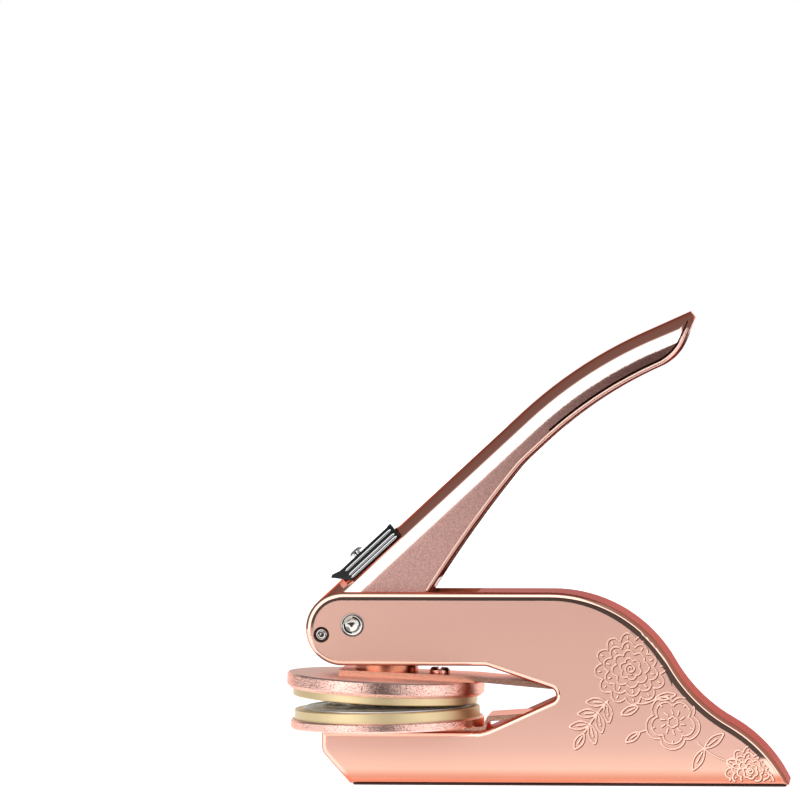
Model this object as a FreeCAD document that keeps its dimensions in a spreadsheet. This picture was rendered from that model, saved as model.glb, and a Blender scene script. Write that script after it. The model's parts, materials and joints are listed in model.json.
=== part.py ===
import FreeCAD, Part
import os
import Sketcher
from FreeCAD import Vector

# Hand-held seal embosser. Millimetres, +X towards the tail, -Y the near side, +Z up.
# The base rests on z = 0 and the origin is under the middle of the whole outline.

SIZES = {
    # frame casting
    "frameWidth": 22,
    "cheekWall": 2,
    "roofWall": 2.5,
    "floorWall": 2.2,
    "webWall": 2.5,
    "topHeight": 49.6,
    "armClearance": 3.15,
    "noseX": -49.6,
    "throatX": 3.6,
    "throatZ": 23.35,
    "throatRadius": 1.8,
    "throatUpperSlope": 18.6,
    "throatLowerSlope": 24.3,
    "armCornerRadius": 4,
    "jawTop": 13.7,
    "jawCornerRadius": 9,
    "jawFrontX": -55.05,
    "jawFrontFootHeight": 8.65,
    "jawToeX": -47.75,
    "jawBendRadius": 4,
    "backStartX": 3.76,
    "backRadius": 36.35,
    "backAngle": 60.3,
    "waistRadius": 40.3,
    "waistAngle": 29.6,
    "tailRadius": 36,
    "rimRadius": 1.3,
    "slotEndX": -15,
    # base
    "padThickness": 0.5,
    "padInset": 0.7,
    "plateThickness": 1.5,
    "plateClearance": 0.15,
    "plateFrontX": -44.7,
    "plateRearX": 60.5,
    "ribFrontX": -36,
    "ribMiddleX": 4,
    "ribRearX": 42,
    "ribLength": 8,
    "ribRearHeight": 10,
    "baseScrewRadius": 1.5,
    "baseScrewHeadRadius": 2.8,
    "baseScrewHeadHeight": 1.2,
    "baseScrewLength": 6.5,
    # hinge and stop
    "hingeBack": 2.65,
    "hingeRise": 1.05,
    "hingeRadius": 2.2,
    "hingeHeadRadius": 2.9,
    "hingeHeadHeight": 1,
    "hingeHeadProud": 0.25,
    "hingeHeadGap": 0.12,
    "hingeDishRadius": 2.1,
    "hingeDishDepth": 0.6,
    "hingeRunning": 0.05,
    "bushRadius": 3.1,
    "washerRadius": 4.4,
    "washerThickness": 0.6,
    "stopEdge": 4.1,
    "stopDrop": 1.45,
    "stopRadius": 1.45,
    "stopRecessRadius": 2.05,
    "stopRecessDepth": 0.9,
    "stopSunk": 0.35,
    # spring clip
    "dieX": -38.9,
    "upperDieX": -39.25,
    "lowerSeatZ": 14.45,
    "lowerTilt": 1,
    "upperSeatZ": 27.55,
    "upperTilt": 2.6,
    "clipWidth": 17.4,
    "clipThickness": 1.4,
    "clipFrontReach": 11.5,
    "joggleGap": 0.2,
    "joggleHeight": 2.8,
    "joggleLength": 1.3,
    "lowerRearTilt": 4,
    "upperRearTilt": 5.2,
    "upperFlatReach": 24,
    "clipSplitX": 1.6,
    "clipSplitGap": 0.05,
    "foldX": 10,
    "foldSeatGap": 0.1,
    # dies
    "discRadius": 25.1,
    "upperDiscRadius": 25.6,
    "lowerDiscThickness": 2.4,
    "upperDiscThickness": 3.95,
    "discEdge": 0.4,
    "upperDiscChamfer": 0.9,
    "lowerDieRadius": 24,
    "lowerDieThickness": 2.6,
    "upperDieRadius": 23.9,
    "upperDieThickness": 2,
    "dieEdge": 0.25,
    "faceRadius": 21.8,
    "faceRecessRadius": 22.6,
    "faceThickness": 1,
    "faceProud": 0.5,
    "engravedThickness": 0.5,
    "engravedDepth": 1.1,
    "bossRadius": 8.3,
    "camClearance": 0.35,
    "bossEdge": 0.5,
    "bossScrewRadius": 2,
    "bossScrewHeadRadius": 3.8,
    "bossScrewLength": 8,
    "discScrewReach": 13.9,
    "discScrewRadius": 1.5,
    "discScrewHeadRadius": 2.65,
    "discScrewHeadHeight": 1.3,
    "discScrewDepth": 2.2,
    "screwSlotWidth": 0.7,
    "screwSlotDepth": 0.6,
    "discRivetReach": 7,
    "discRivetRadius": 1.6,
    "discRivetDepth": 2.4,
    # lever
    "leverWidth": 16.4,
    "leverWall": 1.5,
    "leverShoulder": 6.5,
    "leverNoseProud": 0.25,
    "leverSlope": 42.6,
    "leverStraight": 71.6,
    "leverArcRadius": 115.4,
    "leverTipSlope": 24,
    "leverTipStraight": 13.3,
    "leverDepth": 9.77,
    "tipFacet": 1.9,
    "tipReach": 0.48,
    "tipLipBack": 13.06,
    "tipLipRadius": 13,
    "tipLipAngle": 67.3,
    "tipBowRadius": 7.6,
    "kneeBack": 6.5,
    "kneeRadius": 31.5,
    "kneeAngle": 50.9,
    "rootRadius": 320,
    "rootAngle": 57.9,
    "toeReach": 2.2,
    "toeClearance": 0.35,
    "camX": 6.6,
    "camDrop": 1.7,
    "camRadius": 4,
    "hollowRootStation": 6.4,
    "hollowRootDepth": 6,
    "hollowRootLength": 14.4,
    # latch
    "latchStation": 18.2,
    "latchFront": 8.2,
    "latchRear": 8.8,
    "latchFrontLip": 11.8,
    "latchRearLip": 9,
    "latchWidth": 14.8,
    "latchSkirt": 2.1,
    "latchWall": 0.65,
    "latchTop": 1.8,
    "latchLipTop": 2.45,
    "latchRearLipTop": 1.95,
    "latchLipThickness": 0.8,
    "latchFloor": 0.7,
    "latchGap": 0.15,
    "latchStep": 0.5,
    "latchTravel": 4,
    "latchRivetFront": 3.35,
    "latchRivetRadius": 1.1,
    "latchHeadRadius": 2.1,
    "latchHeadRise": 1.2,
    "latchHeadHeight": 1.1,
    "latchSlotClearance": 0.2,
    "latchPlateLength": 8,
    "latchPlateWidth": 4.4,
    "latchPlateThickness": 0.8,
}

# Sizes that follow from the ones above.
DERIVED = {
    "armUnder": "upperSeatZ + armClearance",
    "noseRadius": "(topHeight - armUnder) / 2",
    "noseZ": "topHeight - noseRadius",
    "hingeX": "noseX + hingeBack",
    "hingeZ": "noseZ + hingeRise",
    "stopX": "noseX - noseRadius + stopEdge",
    "stopZ": "noseZ - stopDrop",
    "hubRadius": "noseRadius / 2",
    "toeLength": "noseRadius + toeReach",
    "clipFlatReach": "discRadius + joggleGap",
    "bossHeight": "hingeZ - camDrop - camRadius - camClearance - upperSeatZ - clipThickness",
}

doc = FreeCAD.newDocument("SealEmbosser")
sheet = doc.addObject("Spreadsheet::Sheet", "Sizes")
cells = [(alias, str(value)) for alias, value in SIZES.items()]
cells += [(alias, "=" + formula) for alias, formula in DERIVED.items()]
for row, (alias, content) in enumerate(cells, start=1):
    sheet.set(f"A{row}", alias)
    sheet.set(f"B{row}", content)
    sheet.setAlias(f"B{row}", alias)
doc.recompute()
aliases = {alias for alias, _ in cells}

subParts = []


def named(expression):
    """Puts the sheet's name before each alias of an expression."""
    words = []
    word = ""
    for letter in expression + " ":
        if letter.isalnum():
            word += letter
            continue
        words.append("Sizes." + word if word in aliases else word)
        words.append(letter)
        word = ""
    return "".join(words).strip()


def size(expression):
    """The present value of an expression of the sheet's sizes."""
    value = sheet.evalExpression(named(expression))
    return float(getattr(value, "Value", value))


def bind(thing, field, expression):
    thing.setExpression(field, named(expression))


def newBody(label):
    body = doc.addObject("PartDesign::Body", label)
    body.Label = label
    subParts.append(body)
    return body


def helperBody(label):
    body = doc.addObject("PartDesign::Body", label)
    body.Label = label
    return body


def originPlane(body, role):
    for feature in body.Origin.OriginFeatures:
        if feature.Role == role:
            return feature
    raise ValueError(role)


def newSketch(body, role, name, offset=None):
    """A sketch on one of the body's own origin planes; offset lifts it along the plane's normal."""
    sketch = body.newObject("Sketcher::SketchObject", name)
    sketch.AttachmentSupport = [(originPlane(body, role), "")]
    sketch.MapMode = "FlatFace"
    if offset:
        bind(sketch, "AttachmentOffset.Base.z", offset)
    return sketch


def pin(sketch, geometry, point, x, y):
    """Holds a point of the sketch at coordinates given as expressions."""
    for kind, expression in (("DistanceX", x), ("DistanceY", y)):
        index = sketch.addConstraint(
            Sketcher.Constraint(kind, -1, 1, geometry, point, size(expression)))
        bind(sketch, f"Constraints[{index}]", expression)


def outline(sketch, corners):
    """Closes a profile. A corner is (x, y) and a line leaves it, or (x, y, cx, cy, radius, turn)
    and an arc about (cx, cy) leaves it, counter-clockwise for turn 1 and clockwise for turn -1."""
    places = [Vector(size(corner[0]), size(corner[1]), 0) for corner in corners]
    ends = []
    for index, corner in enumerate(corners):
        start = places[index]
        finish = places[(index + 1) % len(corners)]
        if len(corner) == 2:
            geometry = sketch.addGeometry(Part.LineSegment(start, finish), False)
            ends.append((geometry, 1, 2))
            continue
        centre = Vector(size(corner[2]), size(corner[3]), 0)
        circle = Part.Circle(centre, Vector(0, 0, 1), size(corner[4]))
        first, last = (start, finish) if corner[5] > 0 else (finish, start)
        arc = Part.ArcOfCircle(circle, circle.parameter(first), circle.parameter(last))
        geometry = sketch.addGeometry(arc, False)
        radius = sketch.addConstraint(Sketcher.Constraint("Radius", geometry, size(corner[4])))
        bind(sketch, f"Constraints[{radius}]", corner[4])
        ends.append((geometry, 1, 2) if corner[5] > 0 else (geometry, 2, 1))
    for index, (geometry, start, finish) in enumerate(ends):
        pin(sketch, geometry, start, corners[index][0], corners[index][1])
        following = ends[(index + 1) % len(ends)]
        sketch.addConstraint(
            Sketcher.Constraint("Coincident", geometry, finish, following[0], following[1]))


def circleAt(sketch, x, y, radius):
    geometry = sketch.addGeometry(
        Part.Circle(Vector(size(x), size(y), 0), Vector(0, 0, 1), size(radius)), False)
    pin(sketch, geometry, 3, x, y)
    index = sketch.addConstraint(Sketcher.Constraint("Radius", geometry, size(radius)))
    bind(sketch, f"Constraints[{index}]", radius)


def rectangle(sketch, left, low, right, high):
    outline(sketch, [(left, low), (right, low), (right, high), (left, high)])


def pad(body, sketch, name, length, symmetric=True, backwards=False):
    feature = body.newObject("PartDesign::Pad", name)
    feature.Profile = sketch
    feature.SideType = "Symmetric" if symmetric else "One side"
    feature.Reversed = backwards
    bind(feature, "Length", length)
    doc.recompute()
    return feature


def pocket(body, sketch, name, length, symmetric=True, backwards=False):
    """Cuts a pocket and stops when it takes no material away."""
    before = body.Shape.Volume
    feature = body.newObject("PartDesign::Pocket", name)
    feature.Profile = sketch
    feature.SideType = "Symmetric" if symmetric else "One side"
    feature.Reversed = backwards
    bind(feature, "Length", length)
    doc.recompute()
    if body.Shape.Volume > before - 1e-6:
        raise ValueError(f"{name} cuts nothing")
    return feature


def turned(body, sketch, name, cut=False):
    """Revolves a sketch about its own vertical axis, to add material or to cut it."""
    feature = body.newObject("PartDesign::Groove" if cut else "PartDesign::Revolution", name)
    feature.Profile = sketch
    feature.ReferenceAxis = (sketch, ["V_Axis"])
    feature.Angle = 360
    doc.recompute()
    return feature


def roundEdges(body, name, radius, chosen, kind="Fillet"):
    """Fillets or chamfers the edges of the body's last feature that pass the test."""
    last = body.Tip
    names = [f"Edge{number}" for number, edge in enumerate(last.Shape.Edges, start=1) if chosen(edge)]
    if not names:
        raise ValueError(f"{name} finds no edge")
    feature = body.newObject("PartDesign::" + kind, name)
    feature.Base = (last, names)
    bind(feature, "Radius" if kind == "Fillet" else "Size", radius)
    doc.recompute()
    return feature


def place(thing, x="0", y="0", z="0", tilt="0"):
    """Puts a sub-part at a point, tipped about +Y by an angle in degrees."""
    thing.Placement = FreeCAD.Placement(
        Vector(size(x), size(y), size(z)), FreeCAD.Rotation(Vector(0, 1, 0), size(tilt)))
    bind(thing, "Placement.Base.x", x)
    bind(thing, "Placement.Base.y", y)
    bind(thing, "Placement.Base.z", z)
    if tilt != "0":
        bind(thing, "Placement.Rotation.Angle", f"({tilt}) * 1 deg")


def alongY(edge, x, z, reach=0.05):
    """True for a straight edge across the width at (x, z)."""
    box = edge.BoundBox
    return (box.YLength > 0.5 and abs(box.XMin - x) < reach and abs(box.XMax - x) < reach
            and abs(box.ZMin - z) < reach and abs(box.ZMax - z) < reach)


def inPlaneY(edge, y, reach=1e-4):
    box = edge.BoundBox
    return abs(box.YMin - y) < reach and abs(box.YMax - y) < reach


# ---- frame ----

cheekGap = "frameWidth - 2 * cheekWall"
frameBottom = "padThickness"


def backCurve(inset):
    """The S-shaped back: shoulder, waist and tail arcs, all moved inwards by inset."""
    shoulderZ = "(topHeight - backRadius)"
    waistX = "(backStartX + (backRadius + waistRadius) * sin(backAngle))"
    waistZ = "(topHeight - backRadius + (backRadius + waistRadius) * cos(backAngle))"
    tailX = f"({waistX} - (waistRadius + tailRadius) * sin(waistAngle))"
    tailZ = f"({waistZ} - (waistRadius + tailRadius) * cos(waistAngle))"
    outer = f"(backRadius - {inset})"
    hollow = f"(waistRadius + {inset})"
    end = f"(tailRadius - {inset})"
    drop = f"({tailZ} - {frameBottom})"
    return [
        ("backStartX", f"topHeight - {inset}", "backStartX", shoulderZ, outer, -1),
        (f"backStartX + {outer} * sin(backAngle)", f"{shoulderZ} + {outer} * cos(backAngle)",
         waistX, waistZ, hollow, 1),
        (f"{tailX} + {end} * sin(waistAngle)", f"{tailZ} + {end} * cos(waistAngle)",
         tailX, tailZ, end, -1),
        (f"{tailX} + sqrt({end} * {end} - {drop} * {drop})", frameBottom),
    ]


def lowerLeafPoint(along, lift="0"):
    """A point of the lower leaf's flat front, along it from the die centre and lifted off the seat."""
    x = f"(dieX + ({along}) * cos(lowerTilt) - ({lift}) * sin(lowerTilt))"
    z = f"(lowerSeatZ + ({along}) * sin(lowerTilt) + ({lift}) * cos(lowerTilt))"
    return x, z


def lowerLeafRear(x, under):
    """A point of the lower leaf behind its joggle, at x, on its upper or its lower face."""
    startX, startZ = lowerLeafPoint("clipFlatReach + joggleLength", "joggleHeight")
    drop = f"({under}) / cos(lowerRearTilt)"
    return f"({x})", f"({startZ} + ({x} - {startX}) * tan(lowerRearTilt) - {drop})"


def makeFrame():
    body = newBody("frame_casting")
    armCornerX = (f"(throatX + throatRadius * sin(throatUpperSlope) - (armUnder - throatZ"
                  " - throatRadius * cos(throatUpperSlope)) / tan(throatUpperSlope))")
    jawCornerX = ("(throatX + throatRadius * sin(throatLowerSlope) - (throatZ - jawTop"
                  " - throatRadius * cos(throatLowerSlope)) / tan(throatLowerSlope))")
    sketch = newSketch(body, "XZ_Plane", "frame_side")
    outline(sketch, [
        ("noseX", "topHeight"),
        *backCurve("0"),
        ("jawToeX", frameBottom),
        ("jawFrontX", "jawFrontFootHeight"),
        ("jawFrontX", "jawTop"),
        (jawCornerX, "jawTop"),
        ("throatX + throatRadius * sin(throatLowerSlope)",
         "throatZ - throatRadius * cos(throatLowerSlope)", "throatX", "throatZ", "throatRadius", 1),
        ("throatX + throatRadius * sin(throatUpperSlope)",
         "throatZ + throatRadius * cos(throatUpperSlope)"),
        (armCornerX, "armUnder"),
        ("noseX", "armUnder", "noseX", "noseZ", "noseRadius", -1),
        ("noseX - noseRadius", "noseZ", "noseX", "noseZ", "noseRadius", -1),
    ])
    pad(body, sketch, "frame_block", "frameWidth")
    armX, armZ = size(armCornerX), size("armUnder")
    jawX, jawZ = size(jawCornerX), size("jawTop")
    frontX, footZ = size("jawFrontX"), size("jawFrontFootHeight")
    roundEdges(body, "arm_corner", "armCornerRadius", lambda edge: alongY(edge, armX, armZ))
    roundEdges(body, "jaw_corner", "jawCornerRadius", lambda edge: alongY(edge, jawX, jawZ))
    roundEdges(body, "jaw_bend", "jawBendRadius", lambda edge: alongY(edge, frontX, footZ))
    halfWidth = size("frameWidth / 2")
    roundEdges(body, "rim", "rimRadius",
               lambda edge: inPlaneY(edge, halfWidth) or inPlaneY(edge, -halfWidth))
    cutLeverSlot(body)
    cutLowerHollow(body)
    addRibs(body)
    boreFrame(body)


def cutLeverSlot(body):
    """The space between the cheeks for the lever, the boss and the clip, open at the nose."""
    outside = "(noseX - 2 * noseRadius)"
    webX = f"(foldX + {foldOuter})"
    ahead = lowerLeafPoint("clipFlatReach + clipThickness / 2", "0 - clipThickness")
    behind = lowerLeafPoint("clipFlatReach + joggleLength", "joggleHeight - clipThickness")
    front = lowerLeafPoint("0 - 2 * discRadius", "0 - clipThickness")
    rear = lowerLeafRear(webX, "clipThickness")
    innerZ = f"(topHeight - backRadius + sqrt(pow(backRadius - roofWall; 2) - pow({webX} - backStartX; 2)))"
    sketch = newSketch(body, "XZ_Plane", "slot_side")
    outline(sketch, [
        front,
        ahead,
        behind,
        rear,
        (webX, innerZ, "backStartX", "topHeight - backRadius", "backRadius - roofWall", 1),
        ("backStartX", "topHeight - roofWall"),
        ("slotEndX", "topHeight - roofWall"),
        ("slotEndX", "topHeight + roofWall"),
        (outside, "topHeight + roofWall"),
        (outside, front[1]),
    ])
    pocket(body, sketch, "lever_slot", cheekGap)


def cutLowerHollow(body):
    """The hollow of jaw and tail, open at the bottom."""
    webX = f"(foldX + {foldOuter} + webWall)"
    underFront = lowerLeafPoint("jawFrontX + roofWall - dieX", "0 - clipThickness - floorWall")
    ahead = lowerLeafPoint("clipFlatReach + floorWall", "0 - clipThickness - floorWall")
    behind = lowerLeafPoint("clipFlatReach + joggleLength + floorWall",
                            "joggleHeight - clipThickness - floorWall")
    rear = lowerLeafRear(webX, "clipThickness + floorWall")
    innerZ = f"(topHeight - backRadius + sqrt(pow(backRadius - roofWall; 2) - pow({webX} - backStartX; 2)))"
    inner = backCurve("roofWall")
    below = f"({frameBottom} - roofWall)"
    footX = "(jawToeX + roofWall * 1.4)"
    sketch = newSketch(body, "XZ_Plane", "hollow_side")
    outline(sketch, [
        (footX, below),
        (footX, frameBottom),
        (underFront[0], "jawFrontFootHeight"),
        underFront,
        ahead,
        behind,
        rear,
        (webX, innerZ, "backStartX", "topHeight - backRadius", "backRadius - roofWall", -1),
        *inner[1:],
        (inner[3][0], below),
    ])
    pocket(body, sketch, "lower_hollow", cheekGap)


plateTop = "(padThickness + plateThickness)"


def addRibs(body):
    """Cross ribs that take the base screws, and the seat of the base plate between the cheeks."""
    floorZ = lowerLeafPoint("ribFrontX - dieX", "0 - clipThickness - floorWall / 2")[1]
    middleZ = lowerLeafRear("ribMiddleX", "clipThickness + floorWall / 2")[1]
    for name, x, top in (("rib_front", "ribFrontX", floorZ), ("rib_middle", "ribMiddleX", middleZ),
                         ("rib_rear", "ribRearX", "ribRearHeight")):
        sketch = newSketch(body, "XZ_Plane", name + "_side")
        rectangle(sketch, f"{x} - ribLength / 2", plateTop, f"{x} + ribLength / 2", top)
        pad(body, sketch, name, cheekGap)
    sketch = newSketch(body, "XZ_Plane", "plate_seat_side")
    rectangle(sketch, "plateFrontX", f"{frameBottom} - plateThickness", "plateRearX", plateTop)
    pocket(body, sketch, "plate_seat", cheekGap)
    for name, x in (("front", "ribFrontX"), ("middle", "ribMiddleX"), ("rear", "ribRearX")):
        sketch = newSketch(body, "XY_Plane", f"screw_hole_{name}_round", plateTop)
        circleAt(sketch, x, "0", "baseScrewRadius")
        pocket(body, sketch, f"screw_hole_{name}", "baseScrewLength - plateThickness",
               symmetric=False, backwards=True)


def boreFrame(body):
    """Hinge and stop pin bores through both cheeks, each with a recess on the outside."""
    for name, x, z, radius in (("hinge_bore", "hingeX", "hingeZ", "hingeRadius"),
                               ("stop_bore", "stopX", "stopZ", "stopRadius")):
        sketch = newSketch(body, "XZ_Plane", name + "_round")
        circleAt(sketch, x, z, radius)
        pocket(body, sketch, name, "frameWidth")
    recesses = (("hinge_recess", "hingeX", "hingeZ", "hingeHeadRadius + hingeHeadGap",
                 "hingeHeadHeight - hingeHeadProud"),
                ("stop_recess", "stopX", "stopZ", "stopRecessRadius", "stopRecessDepth"))
    for name, x, z, radius, depth in recesses:
        for side in (1, -1):
            sketch = newSketch(body, "XZ_Plane", f"{name}_{'near' if side > 0 else 'far'}",
                               f"{side} * (frameWidth / 2 - ({depth}) / 2)")
            circleAt(sketch, x, z, radius)
            pocket(body, sketch, f"{name}_{'near_cut' if side > 0 else 'far_cut'}", depth)


def makeBase():
    plate = newBody("base_plate")
    sketch = newSketch(plate, "XY_Plane", "base_plate_plan", "padThickness")
    halfWidth = f"(({cheekGap}) / 2 - plateClearance)"
    rectangle(sketch, "plateFrontX + plateClearance", f"0 - {halfWidth}",
              "plateRearX - plateClearance", halfWidth)
    pad(plate, sketch, "base_plate_sheet", "plateThickness", symmetric=False)
    screwXs = ("ribFrontX", "ribMiddleX", "ribRearX")
    for number, x in enumerate(screwXs, start=1):
        sketch = newSketch(plate, "XY_Plane", f"plate_hole_{number}_round", "padThickness")
        circleAt(sketch, x, "0", "baseScrewRadius")
        pocket(plate, sketch, f"plate_hole_{number}", "plateThickness", symmetric=False, backwards=True)
        hole = size(x)
        roundEdges(plate, f"countersink_{number}", "baseScrewHeadHeight",
                   lambda edge: isRing(edge, hole, size("padThickness"), size("baseScrewRadius")),
                   kind="Chamfer")
    screws = []
    for number, x in enumerate(screwXs, start=1):
        shank = doc.addObject("Part::Cylinder", f"base_screw_{number}_shank")
        bind(shank, "Radius", "baseScrewRadius")
        bind(shank, "Height", "baseScrewLength")
        head = doc.addObject("Part::Cone", f"base_screw_{number}_head")
        bind(head, "Radius1", "baseScrewRadius + baseScrewHeadHeight")
        bind(head, "Radius2", "baseScrewRadius")
        bind(head, "Height", "baseScrewHeadHeight")
        for piece in (shank, head):
            place(piece, x, "0", "padThickness")
        whole = doc.addObject("Part::Fuse", f"base_screw_{number}")
        whole.Base = head
        whole.Tool = shank
        screws.append(whole)
    group = doc.addObject("Part::Compound", "base_screws")
    group.Links = screws
    group.Label = "base_screws"
    subParts.append(group)

    rubber = newBody("base_pad")
    sketch = newSketch(rubber, "XY_Plane", "base_pad_plan")
    tail = backCurve("0")[3][0]
    padHalf = "(frameWidth / 2 - padInset)"
    rectangle(sketch, "jawToeX + padInset", f"0 - {padHalf}", f"{tail} - padInset", padHalf)
    pad(rubber, sketch, "base_pad_sheet", "padThickness", symmetric=False)
    roundEdges(rubber, "pad_corners", "padInset * 2",
               lambda edge: edge.BoundBox.ZLength > 0.9 * size("padThickness"))


def isRing(edge, x, z, radius, y=0):
    """True for a full circle about a vertical axis at (x, y), at height z."""
    curve = edge.Curve
    if not isinstance(curve, Part.Circle) or not edge.isClosed():
        return False
    near = abs(curve.Center.x - x) < 0.01 and abs(curve.Center.y - y) < 0.01
    return near and abs(curve.Center.z - z) < 0.01 and abs(curve.Radius - radius) < 0.01


def makePins():
    """Hinge rivet with two dished heads, running washers and the stop pin, all across the width."""
    rivet = newBody("hinge_rivet")
    sketch = newSketch(rivet, "XY_Plane", "hinge_rivet_half")
    reach = "(frameWidth / 2 + hingeHeadProud)"
    under = f"({reach} - hingeHeadHeight)"
    dish = f"({reach} - hingeDishDepth)"
    outline(sketch, [
        ("0", f"0 - {dish}"),
        ("hingeDishRadius * 0.8", f"0 - {dish}"),
        ("hingeDishRadius", f"0 - {reach}"),
        ("hingeHeadRadius", f"0 - {reach}"),
        ("hingeHeadRadius", f"0 - {under}"),
        ("hingeRadius", f"0 - {under}"),
        ("hingeRadius", under),
        ("hingeHeadRadius", under),
        ("hingeHeadRadius", reach),
        ("hingeDishRadius", reach),
        ("hingeDishRadius * 0.8", dish),
        ("0", dish),
    ])
    turned(rivet, sketch, "hinge_rivet_turned")
    place(rivet, "hingeX", "0", "hingeZ")

    washers = []
    for side in (1, -1):
        ring = doc.addObject("Part::Cylinder", f"washer_disc_{'far' if side > 0 else 'near'}")
        hole = doc.addObject("Part::Cylinder", f"washer_hole_{'far' if side > 0 else 'near'}")
        bind(ring, "Radius", "washerRadius")
        bind(hole, "Radius", "hingeRadius + hingeRunning")
        washer = doc.addObject("Part::Cut", f"hinge_washer_{'far' if side > 0 else 'near'}")
        for piece in (ring, hole):
            bind(piece, "Height", "washerThickness")
            middle = f"{side} * (leverWidth / 2 + ({cheekGap})  / 2) / 2 + washerThickness / 2"
            piece.Placement = FreeCAD.Placement(
                Vector(size("hingeX"), size(middle), size("hingeZ")),
                FreeCAD.Rotation(Vector(1, 0, 0), 90))
            bind(piece, "Placement.Base.x", "hingeX")
            bind(piece, "Placement.Base.y", middle)
            bind(piece, "Placement.Base.z", "hingeZ")
        washer.Base = ring
        washer.Tool = hole
        washers.append(washer)
    group = doc.addObject("Part::Compound", "hinge_washers")
    group.Links = washers
    group.Label = "hinge_washers"
    subParts.append(group)

    stop = newBody("stop_pin")
    sketch = newSketch(stop, "XZ_Plane", "stop_pin_round")
    circleAt(sketch, "0", "0", "stopRadius")
    pad(stop, sketch, "stop_pin_rod", "frameWidth - 2 * stopSunk")
    roundEdges(stop, "stop_pin_ends", "stopRadius * 0.25", lambda edge: edge.isClosed(), kind="Chamfer")
    place(stop, "stopX", "0", "stopZ")


# ---- spring clip and dies ----

upperRearZ = "(upperSeatZ - upperFlatReach * sin(upperTilt) + clipThickness * cos(upperTilt))"
upperRearX = "(upperDieX + upperFlatReach * cos(upperTilt) + clipThickness * sin(upperTilt))"


def upperLeafRear(x, under):
    """A point of the upper leaf behind its bend, at x, on its upper or its lower face."""
    drop = f"({under}) / cos(upperRearTilt)"
    return f"({x})", f"({upperRearZ} - (({x}) - {upperRearX}) * tan(upperRearTilt) - {drop})"


foldTop = upperLeafRear("foldX", "0")[1]
foldLow = lowerLeafRear("foldX", "clipThickness")[1]
foldOuter = f"(({foldTop} - {foldLow}) / 2)"
foldZ = f"(({foldTop} + {foldLow}) / 2)"
foldInner = f"({foldOuter} - clipThickness)"


def makeSpringClip():
    """Lower leaf, joggle and rear fold, with the short end of the upper leaf behind the split."""
    body = newBody("spring_clip")
    sketch = newSketch(body, "XZ_Plane", "spring_clip_side")
    stub = "(clipSplitX + clipSplitGap)"
    outline(sketch, [
        lowerLeafPoint("0 - clipFrontReach", "0 - clipThickness"),
        lowerLeafPoint("clipFlatReach + clipThickness / 2", "0 - clipThickness"),
        lowerLeafPoint("clipFlatReach + joggleLength", "joggleHeight - clipThickness"),
        ("foldX", foldLow, "foldX", foldZ, foldOuter, 1),
        (f"foldX + {foldOuter}", foldZ, "foldX", foldZ, foldOuter, 1),
        ("foldX", foldTop),
        upperLeafRear(stub, "0"),
        upperLeafRear(stub, "clipThickness"),
        ("foldX", f"{foldTop} - clipThickness", "foldX", foldZ, foldInner, -1),
        (f"foldX + {foldInner}", foldZ, "foldX", foldZ, foldInner, -1),
        ("foldX", f"{foldLow} + clipThickness"),
        lowerLeafPoint("clipFlatReach + joggleLength", "joggleHeight"),
        lowerLeafPoint("clipFlatReach", "0"),
        lowerLeafPoint("0 - clipFrontReach", "0"),
    ])
    pad(body, sketch, "spring_clip_strip", "clipWidth")
    for side in (1, -1):
        hole = newSketch(body, "XY_Plane", f"clip_hole_{'rear' if side > 0 else 'front'}_round",
                         "lowerSeatZ + clipThickness")
        x = lowerLeafPoint(f"{side} * discRivetReach")[0]
        circleAt(hole, x, "0", "discRivetRadius + hingeRunning")
        pocket(body, hole, f"clip_hole_{'rear' if side > 0 else 'front'}", "4 * clipThickness",
               symmetric=False)


def makeUpperLeaf():
    body = newBody("clip_upper_leaf")
    sketch = newSketch(body, "XZ_Plane", "upper_leaf_side")
    frontLowX = "(upperDieX - clipFrontReach * cos(upperTilt))"
    frontLowZ = "(upperSeatZ + clipFrontReach * sin(upperTilt))"
    bendLowX = "(upperDieX + upperFlatReach * cos(upperTilt))"
    bendLowZ = "(upperSeatZ - upperFlatReach * sin(upperTilt))"
    outline(sketch, [
        (frontLowX, frontLowZ),
        (bendLowX, bendLowZ),
        upperLeafRear("clipSplitX", "clipThickness"),
        upperLeafRear("clipSplitX", "0"),
        (upperRearX, upperRearZ),
        (f"{frontLowX} + clipThickness * sin(upperTilt)", f"{frontLowZ} + clipThickness * cos(upperTilt)"),
    ])
    pad(body, sketch, "upper_leaf_strip", "clipWidth")
    for name, reach, radius in (("boss_screw", "0", "bossScrewRadius"),
                                ("disc_screw", "discScrewReach", "discScrewRadius")):
        hole = newSketch(body, "XY_Plane", f"leaf_hole_{name}_round", "upperSeatZ - clipThickness")
        middle = f"(({reach}) * cos(upperTilt) + clipThickness / 2 * sin(upperTilt))"
        circleAt(hole, f"upperDieX + {middle}", "0", f"{radius} + hingeRunning")
        pocket(body, hole, f"leaf_hole_{name}", "4 * clipThickness", symmetric=False, backwards=True)


def turnedPart(label, points):
    """A round sub-part from half of its section, given as radius and height expressions."""
    body = newBody(label)
    sketch = newSketch(body, "XZ_Plane", label + "_half")
    outline(sketch, points)
    turned(body, sketch, label + "_turned")
    return body


def lowerPlace(body, along="0"):
    x, z = lowerLeafPoint(along)
    place(body, x, "0", z, "0 - lowerTilt")


def upperPlace(body, along="0"):
    x = f"(upperDieX + ({along}) * cos(upperTilt))"
    z = f"(upperSeatZ - ({along}) * sin(upperTilt))"
    place(body, x, "0", z, "upperTilt")


def blindHole(body, name, reach, radius, level, depth, up):
    """A round hole beside the axis of a round sub-part, from a level upwards or downwards."""
    sketch = newSketch(body, "XY_Plane", name + "_round", level)
    circleAt(sketch, reach, "0", radius)
    pocket(body, sketch, name, depth, symmetric=False, backwards=up)


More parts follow.
